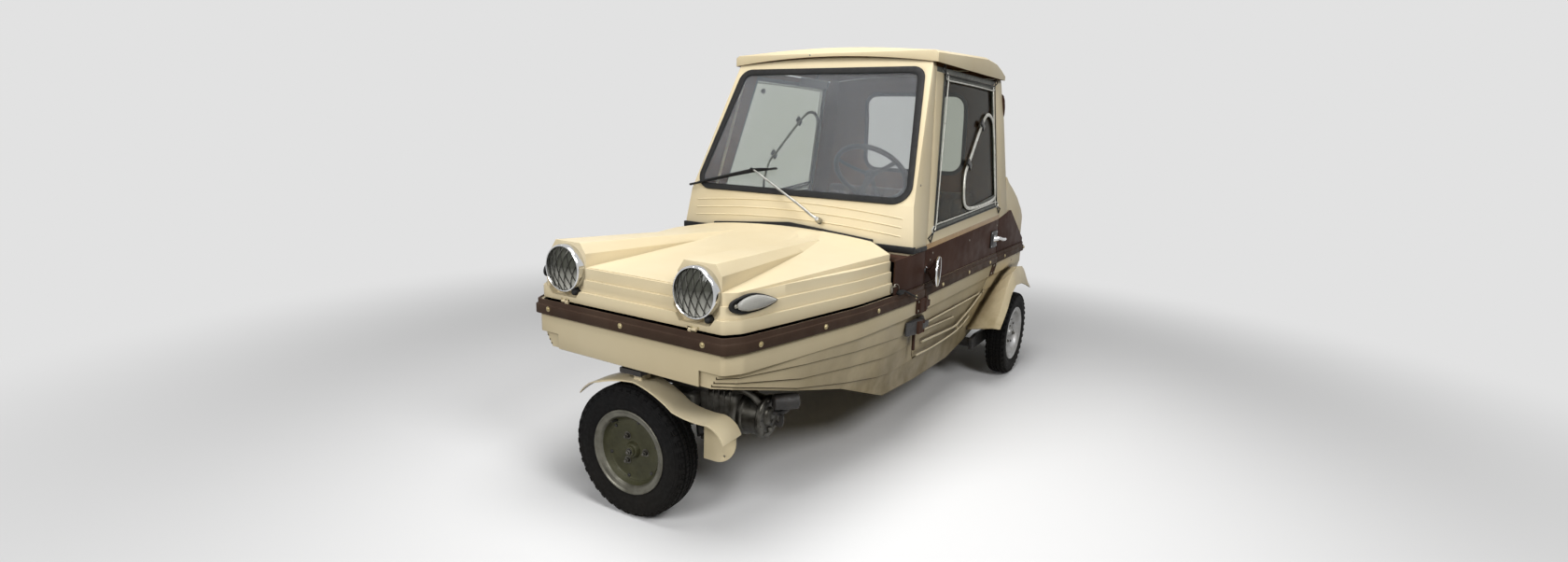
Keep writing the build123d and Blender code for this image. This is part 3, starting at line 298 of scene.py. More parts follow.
def vinylMaterial():
    # embossed vinyl: dark brown leather-like grain, a soft sheen on the worn crowns
    material, tree, shader, coords = newMaterial("seatVinyl", {})
    cells = addNode(tree, "ShaderNodeTexVoronoi", {"Scale": 1000 / 2.4, "Vector": coords}, feature="DISTANCE_TO_EDGE")
    cells = cells.outputs["Distance"]
    tone = ramp(tree, cells, 0.02, 0.25, srgb("#2A1D16"), srgb("#4A3428"))
    fade = noise(tree, coords, 7.0, 5.0)
    tone = mixColour(tree, ramp(tree, fade, 0.45, 0.7), tone, srgb("#5B4334"))
    tree.links.new(tone, shader.inputs["Base Color"])
    tree.links.new(remap(tree, fade, 0.0, 1.0, 0.38, 0.6), shader.inputs["Roughness"])
    emboss(tree, shader, cells, 0.4, 0.6)
    return material


flutedGlass, clearLens, seatVinyl = flutedMaterial(), clearLensMaterial(), vinylMaterial()
print("stage: materials")


def everything(bm):
    return bm.verts[:] + bm.edges[:] + bm.faces[:]


def soften(bm, edges, width, segments=2):
    # round the edges; the width is in mm
    return bmesh.ops.bevel(bm, geom=edges, offset=width / 1000, offset_type="OFFSET", segments=segments, profile=0.5,
                           affect="EDGES", material=-1, clamp_overlap=True)


def creases(bm, angle):
    return [e for e in bm.edges if len(e.link_faces) == 2 and e.calc_face_angle(0) > angle]


def listed(materials):
    return materials if isinstance(materials, list) else [materials]


def finishPiece(bm, name, materials, body, replaces=(), angle=35, place=None, mirrored=False, flipped=False,
                outward=True):
    # mirrored adds the same thing on the car's other side, and flipped moves it there
    if place is not None:
        bmesh.ops.transform(bm, matrix=place, verts=bm.verts)
    if mirrored:
        copy = bmesh.ops.duplicate(bm, geom=everything(bm))["geom"]
        bmesh.ops.scale(bm, vec=(-1, 1, 1), verts=[g for g in copy if isinstance(g, bmesh.types.BMVert)])
        bmesh.ops.reverse_faces(bm, faces=[g for g in copy if isinstance(g, bmesh.types.BMFace)])
    if flipped:
        bmesh.ops.scale(bm, vec=(-1, 1, 1), verts=bm.verts)
    if outward:
        bmesh.ops.recalc_face_normals(bm, faces=bm.faces)
    mesh = bpy.data.meshes.new(name)
    bm.to_mesh(mesh)
    bm.free()
    for material in listed(materials):
        mesh.materials.append(material)
    mesh.polygons.foreach_set("use_smooth", [True] * len(mesh.polygons))
    mesh.set_sharp_from_angle(angle=math.radians(angle))
    piece = bpy.data.objects.new(name, mesh)
    scene.collection.objects.link(piece)
    if replaces:
        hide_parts(*replaces)
    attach(piece, body)
    return piece


def turned(axis, centre):
    # a matrix that takes the local X axis to the given axis and the origin to the centre
    turn = Vector((1, 0, 0)).rotation_difference(Vector(axis).normalized())
    return Matrix.Translation(centre) @ turn.to_matrix().to_4x4()


def around(place, along, radius, angle):
    # a spot on a circle about the place's X axis
    return place @ mm(along, radius * math.cos(angle), radius * math.sin(angle))


def spun(points, steps, closed=False):
    # points of (along X, radius) in mm turned about the X axis; a radius of nought closes the end
    bm = bmesh.new()
    verts = [bm.verts.new(mm(x, 0, r)) for x, r in points]
    edges = [bm.edges.new(pair) for pair in zip(verts, verts[1:])]
    if closed:
        edges.append(bm.edges.new((verts[-1], verts[0])))
    bmesh.ops.spin(bm, geom=verts + edges, cent=(0, 0, 0), axis=(1, 0, 0), angle=fullTurn, steps=steps,
                   use_merge=True)
    bmesh.ops.remove_doubles(bm, verts=bm.verts, dist=2e-6)
    bmesh.ops.recalc_face_normals(bm, faces=bm.faces)
    return bm


# softened copies of the big shells, their edges rounded as gelcoat leaves a mould
cabCentre = at(0, 1600, 1100)
cabSquash = 0.35  # the cab is long, so its ends count less when a face's side is judged
facingIn = 0.25
waistFoot = at(0, 1100, 828)
waistNormal = Vector((0, -0.0383, 1)).normalized()
beltTop = 0.69
ledgeDepth = 0.021
windowHead = 1.524
windowStations = (1385, 2080)
lugSettings = dict(stations=(1090, 1165), levels=(0.49, 0.64), brownFrom=0.57, brownHalf=0.5535, greyHalf=0.5415)
lapEdges = []
creamSlot, clothSlot, brownSlot, ledgeSlot, stripSlot, greySlot = range(6)  # a shell's finishes, in this order


def cutAt(bm, point, normal):
    bmesh.ops.bisect_plane(bm, geom=everything(bm), dist=1e-5, plane_co=point, plane_no=normal)


# the roof's deep fascia, in metres: its rim, the shoulder inside it and the crown over both
fasciaSettings = dict(
    line=((1243, 1593), (1600, 1613), (1900, 1629), (2050, 1619), (2130, 1600), (2204, 1576)), rimHalf=0.48,
    rimFrom=1.565, shoulder=(0.42, 0.445), shoulderFrom=1.598, shoulderHalf=0.476, lip=10, crownTop=1.624,
    crownHalf=0.425, crownFall=0.022, crownRise=0.006)


def raiseFascia(bm, settings):
    # the roof's sides stand up as a deep fascia that rises to the rear and falls away at its end
    line, (shoulder, edge) = settings["line"], settings["shoulder"]
    for station, level in line[1:-1]:
        cutAt(bm, at(0, station, 0), (0, 1, 0))
    for vert in bm.verts:
        x, z = abs(vert.co.x), vert.co.z
        level = levelAt(line, stationOf(vert.co), 1)
        raised = (level + settings["lip"]) / 1000
        if x > settings["rimHalf"] and z > settings["rimFrom"]:
            vert.co.z = level / 1000
        elif shoulder < x < edge and z > settings["shoulderFrom"]:
            vert.co.x = math.copysign(settings["shoulderHalf"], vert.co.x)
            vert.co.z = raised
        elif x < shoulder and z > settings["crownTop"] - settings["crownFall"] * (x / settings["crownHalf"]) ** 2:
            vert.co.z = max(z, raised + settings["crownRise"] * (1 - (x / settings["shoulderHalf"]) ** 2))


def collectLaps(bm):
    # the inner edges under each plank of the hull
    for edge in bm.edges:
        if len(edge.link_faces) == 2 and not edge.is_convex and edge.calc_length() > 0.05:
            ends = [v.co.copy() for v in edge.verts]
            steep = min(face.normal.z for face in edge.link_faces)
            if steep < -0.7 and all(0.2 < p.z < 0.57 and abs(p.x) > 0.25 for p in ends):
                lapEdges.append(ends)


def paintDoor(bm):
    # the brown waist above the belt, the pale ledge below the window, and the dark strip over the window's head
    cutAt(bm, (0, 0, beltTop), upwards)
    cutAt(bm, waistFoot, waistNormal)
    cutAt(bm, waistFoot + waistNormal * ledgeDepth, waistNormal)
    for face in bm.faces:
        middle = face.calc_center_median()
        over = (middle - waistFoot).dot(waistNormal)
        if face.material_index == creamSlot and over < 0 and middle.z > beltTop:
            face.material_index = brownSlot
        elif face.material_index == creamSlot and 0 <= over < ledgeDepth:
            face.material_index = ledgeSlot
    cutAt(bm, (0, 0, windowHead), upwards)
    for face in bm.faces:
        middle = face.calc_center_median()
        station = stationOf(middle)
        brown = middle.z > lugSettings["brownFrom"]
        half = lugSettings["brownHalf" if brown else "greyHalf"]
        onLug = inBands(station, [lugSettings["stations"]]) and inBands(middle.z, [lugSettings["levels"]])
        if onLug and abs(middle.x) > half:
            face.material_index = brownSlot if brown else greySlot
        if middle.z > windowHead and inBands(station, [windowStations]) and face.material_index != clothSlot:
            face.material_index = stripSlot


def roundedShell(node, settings):
    bm = bmesh.new()
    bm.from_mesh(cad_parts[node].data)
    bmesh.ops.remove_doubles(bm, verts=bm.verts, dist=weld)
    bmesh.ops.dissolve_limit(bm, angle_limit=math.radians(0.8), verts=bm.verts, edges=bm.edges)
    if "fascia" in settings:
        raiseFascia(bm, settings["fascia"])
    if "soft" in settings:
        # wide rounding of the ridges above the top step
        high = [e for e in creases(bm, math.radians(11)) if e.is_convex and e.calc_length() > 0.03
                and min(v.co.z for v in e.verts) > settings["softFrom"]]
        soften(bm, high, settings["soft"], 4)
    if settings.get("lapped"):
        collectLaps(bm)
    soften(bm, creases(bm, math.radians(settings["angle"])), settings["width"], settings["segments"])
    if settings.get("lined"):
        for face in bm.faces:
            inward = (cabCentre - face.calc_center_median()) * Vector((1, cabSquash, 1))
            if face.normal.dot(inward.normalized()) > facingIn:
                face.material_index = clothSlot
    if settings.get("banded"):
        paintDoor(bm)
    bmesh.ops.triangulate(bm, faces=[f for f in bm.faces if len(f.verts) > 4])
    finishes = [settings.get("finish", creamGelcoat)]
    if settings["slot"] == "cream_gelcoat":
        finishes += [trimCloth, brownGelcoat, ledgeTan, windowStrip, greyRubber]
    finishPiece(bm, node + "_skin", finishes, settings["body"], (node,), 30, outward=False)


creamShell = dict(segments=2, angle=20, body="body", slot="cream_gelcoat")
brownShell = dict(segments=2, angle=22, body="body", slot="brown_gelcoat", finish=brownGelcoat)
beltShell = dict(brownShell, width=3, finish=beltPvc)
ironShell = dict(width=3, segments=2, angle=30, body="body", slot="black_steel", finish=chassisBlack)
doorShell = dict(creamShell, width=2.5, angle=22, lined=True, banded=True)
shellSettings = dict(
    hull=dict(creamShell, width=2.5, lapped=True),
    cab_front=dict(creamShell, width=3.5, lined=True),
    roof_cap=dict(creamShell, width=5, segments=3, angle=12, lined=True, fascia=fasciaSettings),
    rear_wall=dict(creamShell, width=3.5, lined=True),
    tail_deck=dict(creamShell, width=3.5, angle=14),
    rear_fenders=dict(creamShell, width=2, angle=25),
    hood_shell=dict(creamShell, width=3.5, segments=3, angle=18, body="hood", soft=9, softFrom=0.822),
    front_mudguard=dict(creamShell, width=1.2, angle=30, body="steered_unit", finish=creamTrim),
    door_left_panel=dict(doorShell, body="door_left"),
    door_right_panel=dict(doorShell, body="door_right"),
    body_side_panels=dict(brownShell, width=2),
    belt_strip=beltShell,
    door_left_strip=dict(beltShell, body="door_left"),
    door_right_strip=dict(beltShell, body="door_right"),
    rubber_seals=dict(width=2.6, segments=2, angle=30, body="body", slot="black_rubber", finish=blackRubber),
    dashboard=dict(brownShell, width=6, segments=3, angle=30),
    steering_head=dict(ironShell, width=2),
    rear_suspension=ironShell,
    steering_fork=dict(ironShell, body="steered_unit"),
    door_hinges=dict(brownShell, width=1.2, angle=30),
)
for node, settings in shellSettings.items():
    roundedShell(node, settings)

# slopes: the foot's station and the run of each; rise and fall: the slope's height at its middle and its loss outwards
roofSlopes = dict(slopes=((1243, 62), (2204, -92)), half=305, parts=16, drop=52, lift=0.6, thickness=2.5, foot=1.2,
                  rise=26.9, fall=22.4, crownHalf=425, level=1600)


def makeRoofSlopes(settings):
    # one unbroken skin over the bevelled front and rear of the roof
    bm = bmesh.new()
    half, parts, drop = settings["half"], settings["parts"], settings["drop"]
    for foot, run in settings["slopes"]:
        outward = Vector((0, -math.copysign(drop, run), abs(run))).normalized() * (settings["lift"] / 1000)
        low, high = [], []
        for index in range(parts + 1):
            x = half * (2 * index / parts - 1)
            top = settings["rise"] - settings["fall"] * (x / settings["crownHalf"]) ** 2
            for row, rise in ((low, settings["foot"]), (high, top)):
                row.append(bm.verts.new(at(x, foot + rise * run / drop, settings["level"] + rise) + outward))
        rows = [bm.edges.new(pair) for row in (low, high) for pair in zip(row, row[1:])]
        bmesh.ops.bridge_loops(bm, edges=rows)
    bmesh.ops.recalc_face_normals(bm, faces=bm.faces)
    bmesh.ops.solidify(bm, geom=bm.faces[:], thickness=settings["thickness"] / 1000)
    finishPiece(bm, "roof_slopes", creamGelcoat, "body", angle=30)


makeRoofSlopes(roofSlopes)
print("stage: shells")

plainFinishes = dict(
    fixed_glass=veiledGlass, toe_board=chassisBlack, floor_and_seat_box=feltMat, steering_column=chassisBlack,
    door_left_glass=windowGlass, door_right_glass=windowGlass)
for node, material in plainFinishes.items():
    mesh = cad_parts[node].data
    mesh.materials.clear()
    mesh.materials.append(material)


# tyres: moulded carcass with four rows of tread blocks; bands are ranges of mm from the tyre's middle
tyreSettings = dict(
    steps=76, blockInset=1.6, blockHeight=4.5, ribs=((-1, 3), (12, 20), (31, 37)), shoulder=((41.5, 42.5), (45, 45.6)),
    treadFrom=0.216, waves=170, wave=0.016,
    half=((4.5, 218.8), (8.5, 218.8), (9.5, 220.2), (23.5, 219.8), (25, 217), (27.5, 217), (29, 218.8), (40, 216.5),
          (44, 212), (46.2, 206.5), (47.4, 205), (47.4, 203), (46.6, 201.8), (47.4, 197.5), (48.6, 196.5),
          (48.6, 194.5), (48, 193.5), (48.6, 188), (48.8, 180), (47.8, 169), (46.8, 167.5), (45.5, 158), (44, 150),
          (41, 146.2)))


def makeTyre(settings, axis, centre, body, node):
    half = settings["half"]
    bm = spun([*half, *((-x, r) for x, r in reversed(half))], settings["steps"], closed=True)
    blocks = []
    for face in bm.faces:
        middle = face.calc_center_median()
        width = abs(middle.x) * 1000
        turn = round(math.atan2(middle.z, middle.y) / (fullTurn / settings["steps"]) - 0.5)
        if inBands(width, settings["ribs"]) or turn % 2 == 0 and inBands(width, settings["shoulder"]):
            blocks.append(face)
    for ring in {round(v.co.x, 5) for v in bm.verts if math.hypot(v.co.y, v.co.z) > settings["treadFrom"]}:
        row = [v for v in bm.verts if abs(v.co.x - ring) < 1e-5]
        lean = math.sin(ring * settings["waves"]) * settings["wave"]
        bmesh.ops.rotate(bm, cent=(0, 0, 0), matrix=Matrix.Rotation(lean, 3, "X"), verts=row)
    bmesh.ops.inset_individual(bm, faces=blocks, thickness=settings["blockInset"] / 1000,
                               depth=settings["blockHeight"] / 1000, use_even_offset=True)
    finishPiece(bm, node + "_tread", tyreRubber, body, (node,), 28, turned(axis, centre), outward=False)


# name, body, axis, centre and the middle's finish of each wheel
wheels = (
    ("front", "front_wheel", Vector((0.055822, -0.998441, 0)), at(-9.98, 62.44, 225), wheelOlive),
    ("rear_left", "rear_wheel_left", (1, 0, 0), at(590, 2328, 225), wheelSilver),
    ("rear_right", "rear_wheel_right", (-1, 0, 0), at(-590, 2328, 225), wheelSilver))
for name, body, axis, centre, middle in wheels:
    makeTyre(tyreSettings, axis, centre, body, name + "_tyre")
print("stage: tyres")


def sweep(bm, path, profile, closed=False, up=upwards, slot=0):
    # a closed profile of (side, up) offsets in mm carried along a path
    count = len(path)
    rings = []
    for index, point in enumerate(path):
        before = path[index - 1] if closed or index > 0 else point
        after = path[(index + 1) % count] if closed or index < count - 1 else point
        tangent = (after - before).normalized()
        side = tangent.cross(Vector(up)).normalized()
        top = side.cross(tangent)
        rings.append([bm.verts.new(point + side * (u / 1000) + top * (v / 1000)) for u, v in profile])
    skinRings(bm, rings + rings[:1] if closed else rings, slot, capped=not closed)


def skinRings(bm, rings, slot=0, capped=True):
    # faces from ring to ring, and over the first and last
    count = len(rings[0])
    made = [(first[i], first[(i + 1) % count], second[(i + 1) % count], second[i])
            for first, second in zip(rings, rings[1:]) for i in range(count)]
    for corners in made + ([rings[0][::-1], rings[-1]] if capped else []):
        bm.faces.new(corners).material_index = slot


def bridged(bm, rings):
    # rings of corners joined by quads; gives their loops of edges
    loops = [[bm.edges.new(pair) for pair in zip(ring, ring[1:] + ring[:1])] for ring in rings]
    for first, second in zip(loops, loops[1:]):
        bmesh.ops.bridge_loops(bm, edges=first + second)
    return loops


def turns(count):
    return [fullTurn * index / count for index in range(count)]


def circle(radius, sides, squash=1.0):
    return [(radius * math.cos(a), radius * squash * math.sin(a)) for a in turns(sides)]


def bar(half, thick):
    return [(-half, -thick), (half, -thick), (half, thick), (-half, thick)]


def softPath(points, parts, closed=False):
    # a smooth line through the points
    line = []
    count = len(points)
    for index in range(count if closed else count - 1):
        p1, p2 = points[index], points[(index + 1) % count]
        p0 = points[index - 1] if closed or index > 0 else p1 * 2 - p2
        p3 = points[(index + 2) % count] if closed or index < count - 2 else p2 * 2 - p1
        for step in range(parts):
            f = step / parts
            line.append(0.5 * (2 * p1 + (p2 - p0) * f + (2 * p0 - 5 * p1 + 4 * p2 - p3) * f * f
                               + (3 * p1 - p0 - 3 * p2 + p3) * f ** 3))
    return line if closed else line + [points[-1]]


def addMesh(bm, part):
    # carry a finished part over into a piece's mesh
    carrier = bpy.data.meshes.new("carrier")
    part.to_mesh(carrier)
    part.free()
    bm.from_mesh(carrier)
    bpy.data.meshes.remove(carrier)


def lathe(bm, points, place, steps=24, slot=0):
    part = spun(points, steps)
    bmesh.ops.transform(part, matrix=place, verts=part.verts)
    for face in part.faces:
        face.material_index = slot
    addMesh(bm, part)


def roundBox(bm, low, high, width, slot=0, place=Matrix(), segments=2):
    # a box between two corners, in mm, with its edges rounded
    made = bmesh.ops.create_cube(bm, size=1.0)["verts"]
    low, high = mm(*low), mm(*high)
    for vert in made:
        vert.co = Vector([(a + b) / 2 + (b - a) * c for a, b, c in zip(low, high, vert.co)])
    done = soften(bm, list({e for v in made for e in v.link_edges}), width, segments)
    faces = {f for v in done["verts"] for f in v.link_faces}
    for face in faces:
        face.material_index = slot
    bmesh.ops.transform(bm, matrix=place, verts=list({v for f in faces for v in f.verts}))


def screwHead(bm, point, normal, r, slot=0):
    # a pan head in a cup washer, its recess sunk in
    lathe(bm, [(-0.4, r * 1.45), (r * 0.16, r * 1.42), (r * 0.26, r * 1.12), (r * 0.18, r), (r * 0.45, r * 0.9),
               (r * 0.62, r * 0.6), (r * 0.66, r * 0.36), (r * 0.3, r * 0.3), (r * 0.25, 0)],
          turned(normal, point), 14, slot)


def hexNut(bm, point, axis, r, height, slot=0):
    # washer, six sided nut and the stud's end, as (part of the height, part of the radius)
    for steps, line in ((18, ((0, 1.5), (0.12, 1.5), (0.14, 1.02))), (6, ((0.1, 1), (0.85, 1), (1, 0.86), (1, 0.55))),
                        (12, ((0.9, 0.55), (1.45, 0.55), (1.55, 0.45), (1.55, 0)))):
        lathe(bm, [(height * h, r * k) for h, k in line], turned(axis, point), steps, slot)


def screwRow(bm, spots, normal, radius, slot=0):
    for spot in spots:
        screwHead(bm, spot, normal, radius, slot)


planCorners = ((0, 386), (14, 400), (56, 421), (250, 461), (600, 526), (820, 545), (960, 553), (2700, 553))


def planHalf(station):
    # half width of the body at the belt
    return levelAt(planCorners, station)


def planNormal(station):
    slope = (planHalf(station + 20) - planHalf(station - 20)) / 40
    return Vector((1, -slope, 0)).normalized()


# headlamps: rolled chrome bezel, silvered bowl, fluted glass and a wire guard of tall diamonds
lampSettings = dict(
    spacing=276, station=30, height=804, dome=150, glass=3.2, guardLean=21, guardPitch=24.5, guardReach=73.5, wire=1.4,
    bezel=((-36, 69.5), (-2, 69.5), (-1, 79.7), (10, 80.2), (20.5, 79.9), (26.2, 78.8), (29.2, 76.8), (30, 74.8),
           (29, 73.2), (26.2, 72.4), (21.5, 72), (15, 70), (4, 68.8), (-30, 68.4), (-36, 69.5)),
    bowl=((14.5, 68.4), (4, 65.5), (-12, 55), (-24, 37), (-30, 18), (-31, 12), (-24, 11), (-4, 10), (0, 7.5), (2, 0)),
    guardRing=((20, 71.6), (23.2, 72.2), (24.6, 73.8), (23.2, 74.6), (20, 74.2), (20, 71.6)),
    wedge=((0, 11), (22, 10.5), (27, 8.5), (30, 4), (30, 0)))


def lampDome(radius, dome=lampSettings["dome"]):
    return 38 - (dome - math.sqrt(dome ** 2 - radius ** 2))


def makeGuardWires(bm, settings, centre):
    lean = math.radians(settings["guardLean"])
    for sign in (-1, 1):
        along = Vector((math.sin(lean) * sign, math.cos(lean)))
        across = Vector((along.y, -along.x))
        for row in range(-4, 5):
            offset = (row + 0.25 * sign) * settings["guardPitch"]
            reach = math.sqrt(max(0, settings["guardReach"] ** 2 - offset ** 2))
            path = []
            for step in range(13):
                flat = across * offset + along * (reach * (step / 6 - 1))
                lift = lampDome(flat.length) + 3.4 + 0.8 * sign
                path.append(centre + mm(flat.x, -lift, flat.y))
            if reach >= 10:
                sweep(bm, path, circle(settings["wire"], 5), up=(0, 1, 0.01))


def makeHeadlamps(settings):
    bezels, bowls, glasses, guards, wedges = (bmesh.new() for _ in range(5))
    outer = [(lampDome(r), r) for r in (0, 6, 12, 18, 24, 30, 36, 42, 48, 54, 60, 65, 69, 71)]
    inner = [(x - settings["glass"], r) for x, r in reversed(outer[:-1])]
    for side in (-1, 1):
        centre = at(side * settings["spacing"], settings["station"], settings["height"])
        place = turned((0, -1, 0), centre)
        lathe(bezels, settings["bezel"], place, 72)
        screwHead(bezels, centre + mm(0, -28.5, 76.5), (0, -1, 0.5), 2.6)
        lathe(bowls, settings["bowl"], place, 48)
        lathe(glasses, outer + inner, place, 56)
        makeGuardWires(guards, settings, centre)
        lathe(guards, settings["guardRing"], place, 64)
        foot = at(side * settings["spacing"] + 46, 34, 729)
        lathe(wedges, settings["wedge"], turned((0, -1, 0), foot), 18)
    for bm, name, material, slot, replaced, angle in (
            (bezels, "bezels", chromePlate, "chrome_trim", ("headlamp_rings",), 40),
            (bowls, "bowls", lampSilver, "chrome_trim", (), 40),
            (glasses, "glasses", flutedGlass, "lamp_glass", ("headlamp_lenses",), 30),
            (guards, "guards", guardWire, "silver_steel", (), 50),
            (wedges, "wedges", blackRubber, "black_rubber", (), 40)):
        finishPiece(bm, "headlamp_" + name, material, "hood", replaced, angle, outward=False)


makeHeadlamps(lampSettings)


# side indicators: domed clear teardrop lens in a dark bezel
# outline: (station, height) points; rings: (share of the outline, lift) from the foot up
indicatorSettings = dict(
    outline=((26, 776), (34, 791), (62, 803), (100, 807), (140, 800), (176, 787), (202, 773), (178, 762), (140, 754),
             (98, 751), (60, 752), (34, 761)),
    bezel=((1.02, -1), (1.02, 4.5), (0.99, 6.5), (0.95, 6.8), (0.90, 5.0), (0.88, 3.0)),
    bowl=((1.0, 3.5), (0.5, 2.5), (0.1, 2.4)),
    lens=((1.0, 3.6), (1.0, 7), (0.97, 10), (0.86, 13), (0.66, 15.2), (0.4, 16.4), (0.12, 16.8)))


def onHood(s, z, lift):
    out = planNormal(s) * lift
    return at(planHalf(s) - 19 + out.x, s + out.y, z)


def ringed(bm, points, middle, layers, slot):
    # closed dome: rings drawn in towards the middle, bridged, then capped
    loops = []
    for shrink, lift in layers:
        spots = [[m + (c - m) * shrink for m, c in zip(middle, p)] for p in points]
        verts = [bm.verts.new(onHood(s, z, lift)) for s, z in spots]
        loops.append([bm.edges.new(pair) for pair in zip(verts, verts[1:] + verts[:1])])
    made = [bm.faces.new([e.verts[0] for e in loops[-1]])]
    for first, second in zip(loops, loops[1:]):
        made += bmesh.ops.bridge_loops(bm, edges=first + second)["faces"]
    for face in made:
        face.material_index = slot


def makeIndicators(settings):
    lenses, bezels = bmesh.new(), bmesh.new()
    points = [p[:2] for p in softPath([Vector((s, z, 0)) for s, z in settings["outline"]], 4, closed=True)]
    ringed(bezels, points, (112, 778), settings["bezel"], 0)
    lens = [(121 + (s - 112) * 0.86, 778.5 + (z - 778) * 0.8) for s, z in points]
    ringed(bezels, lens, (121, 778), settings["bowl"], 1)
    ringed(lenses, lens, (121, 778), settings["lens"], 0)
    screwHead(bezels, onHood(43, 777, 5.5), planNormal(43), 4.2, 2)
    finishPiece(lenses, "indicator_lenses", clearLens, "hood", ("side_indicators",), 40, mirrored=True)
    finishPiece(bezels, "indicator_bezels", [blackRubber, lampSilver, zincPlate], "hood", angle=50,
                mirrored=True)


makeIndicators(indicatorSettings)


# brass screws through the belt, and the small screws of the nose
screwSettings = dict(
    belt=6.2, nose=2.8, stand=12.2, front=(-332, -2, 322), side=(111, 399, 700, 1000, 2250, 2649),
    door=(1300, 1650, 1985), doorFace=565.2, noseLamp=(-9, 15))


def makeScrews(settings):
    belt, nose = bmesh.new(), bmesh.new()
    radius, stand = settings["belt"], settings["stand"]
    screwRow(belt, [at(x, -stand, 661) for x in settings["front"]], (0, -1, 0), radius)
    for side, body in doorSides:
        for station in settings["side"]:
            out = planNormal(station)
            spot = at((planHalf(station) + stand * out.x) * side, station + stand * out.y, 658)
            screwHead(belt, spot, (out.x * side, out.y, 0), radius)
        lamp = side * lampSettings["spacing"]
        screwRow(nose, [at(lamp + x, 8, 701) for x in settings["noseLamp"]], (0, -1, 0), settings["nose"])
        door = bmesh.new()
        screwRow(door, [at(settings["doorFace"] * side, s, 658) for s in settings["door"]], (side, 0, 0), radius)
        finishPiece(door, body + "_belt_screws", brassScrew, body)
    finishPiece(belt, "belt_screws", brassScrew, "body")
    finishPiece(nose, "nose_screws", brassScrew, "hood")


makeScrews(screwSettings)
print("stage: nose")


# wheels: rolled flange worn bright, deep well, flat centre with studs
rimSettings = dict(
    flange=((37.2, 123.6), (37.4, 138.5), (38.2, 142.8), (40.5, 144.7), (43.6, 144.7), (45.8, 143), (46.2, 140.5),
            (45, 138), (42.8, 136.2), (41.6, 133.5), (41.2, 126.2), (40, 123.2), (36.5, 120.6), (34.5, 118.6),
            (32.5, 118), (31.5, 117.2)),
    well=((31.5, 117.2), (29, 116), (21.5, 113), (17.2, 109.5), (16, 108)),
    face=((16, 108.1), (16.8, 107), (16.5, 105.8), (14.5, 104), (12.8, 101), (12.2, 95), (12.2, 32), (13.8, 29),
          (22, 25.5), (27.5, 24), (30, 21.5), (30, 17.5), (34.5, 17), (36, 15.5), (36, 12.6)),
    back=((-16, 108.1), (2, 107.5), (3, 100), (3.5, 34.5), (-43, 33.8), (-43.8, 30), (-43.8, 12.6)),
    bung=((0, 6.2), (2, 6), (4.2, 4.2), (5, 0)),
    valve=((0, 4.5), (12, 4), (14, 2.8), (26, 2.8), (27, 0)))


def makeRim(settings, name, body, axis, centre, middle):
    place = turned(axis, centre)
    bm = bmesh.new()
    for sign in (1, -1):
        flip = Matrix.Scale(sign, 4, (1, 0, 0))
        lathe(bm, settings["flange"], place @ flip, 72, 0)
        # the well takes the centre's finish: on the front rim its dark olive is painted shade in the deep well
        lathe(bm, settings["well"], place @ flip, 72, 1)
    lathe(bm, settings["face"], place, 72, 1)
    lathe(bm, settings["back"], place, 72, 1)
    for angle in turns(3):
        hexNut(bm, around(place, 12.2, 50, angle), axis, 8.8, 11.5, 2)
    hexNut(bm, around(place, 34.5, 0, 0), axis, 9.5, 9, 2)
    for angle in turns(6):
        lathe(bm, settings["bung"], turned(axis, around(place, 12.4, 100, angle + math.radians(18))), 12, 3)
    lathe(bm, settings["valve"], turned(axis, around(place, 16.5, 112, 2.2)), 10, 4)
    enamel = wheelWorn if middle == wheelOlive else wheelSilver
    finishPiece(bm, name + "_wheel_rim", [enamel, middle, castAlloy, chassisBlack, blackRubber], body,
                (name + "_rim",), 30)


for name, body, axis, centre, middle in wheels:
    makeRim(rimSettings, name, body, axis, centre, middle)
print("stage: rims")


# hood catches: sprung wire and hook on the hood's corner, black rubber lever on the belt
catchSettings = dict(
    hook=835, lever=900, bail=((8, 30, 702), (11, 20, 724), (11, -6, 734), (10, -18, 724)),
    path=((-6, -46, 700), (2, -22, 702), (10, 4, 694), (19, 30, 680), (23, 58, 668)),
    widths=((0, 11), (1, 14), (2, 12), (3, 13), (4, 17)))


def makeCatches(settings):
    hooks, levers, wires = bmesh.new(), bmesh.new(), bmesh.new()
    out = planNormal(settings["hook"])
    turn = Matrix.Rotation(math.atan2(out.y, out.x), 4, "Z")
    hood = Matrix.Translation(at(planHalf(settings["hook"]) - 8, settings["hook"], 0)) @ turn
    roundBox(hooks, (-4, -22, 700), (3, 12, 728), 1.2, place=hood)
    roundBox(hooks, (2, -16, 722), (10, 4, 727), 1.2, place=hood)
    screwRow(hooks, places(hood, ((3, -14, 711), (3, 4, 711))), out, 2.6)
    sweep(wires, softPath(places(hood, settings["bail"]), 6), circle(1.4, 6), up=(0.3, 0.2, 1))
    lever = Matrix.Translation(at(planHalf(settings["lever"]) + 4, settings["lever"], 0)) @ turn
    line = softPath(places(lever, settings["path"]), 4)
    rings = []
    for index, point in enumerate(line):
        width = levelAt(settings["widths"], index / (len(line) - 1) * 4)
        rings.append([levers.verts.new(point + mm(0, 0, 3.5 * math.sin(a))
                                       + lever.to_3x3() @ mm(width * math.cos(a) * 0.6, 0, 0)) for a in turns(12)])
    skinRings(levers, rings)
    roundBox(levers, (-10, -52, 690.5), (12, -20, 701.5), 2.5, place=lever)
    finishPiece(hooks, "hood_catch_hooks", zincPlate, "hood", mirrored=True)
    finishPiece(wires, "hood_catch_wires", zincPlate, "body", angle=50, mirrored=True)
    finishPiece(levers, "hood_catch_levers", blackRubber, "body", angle=40, mirrored=True)


makeCatches(catchSettings)


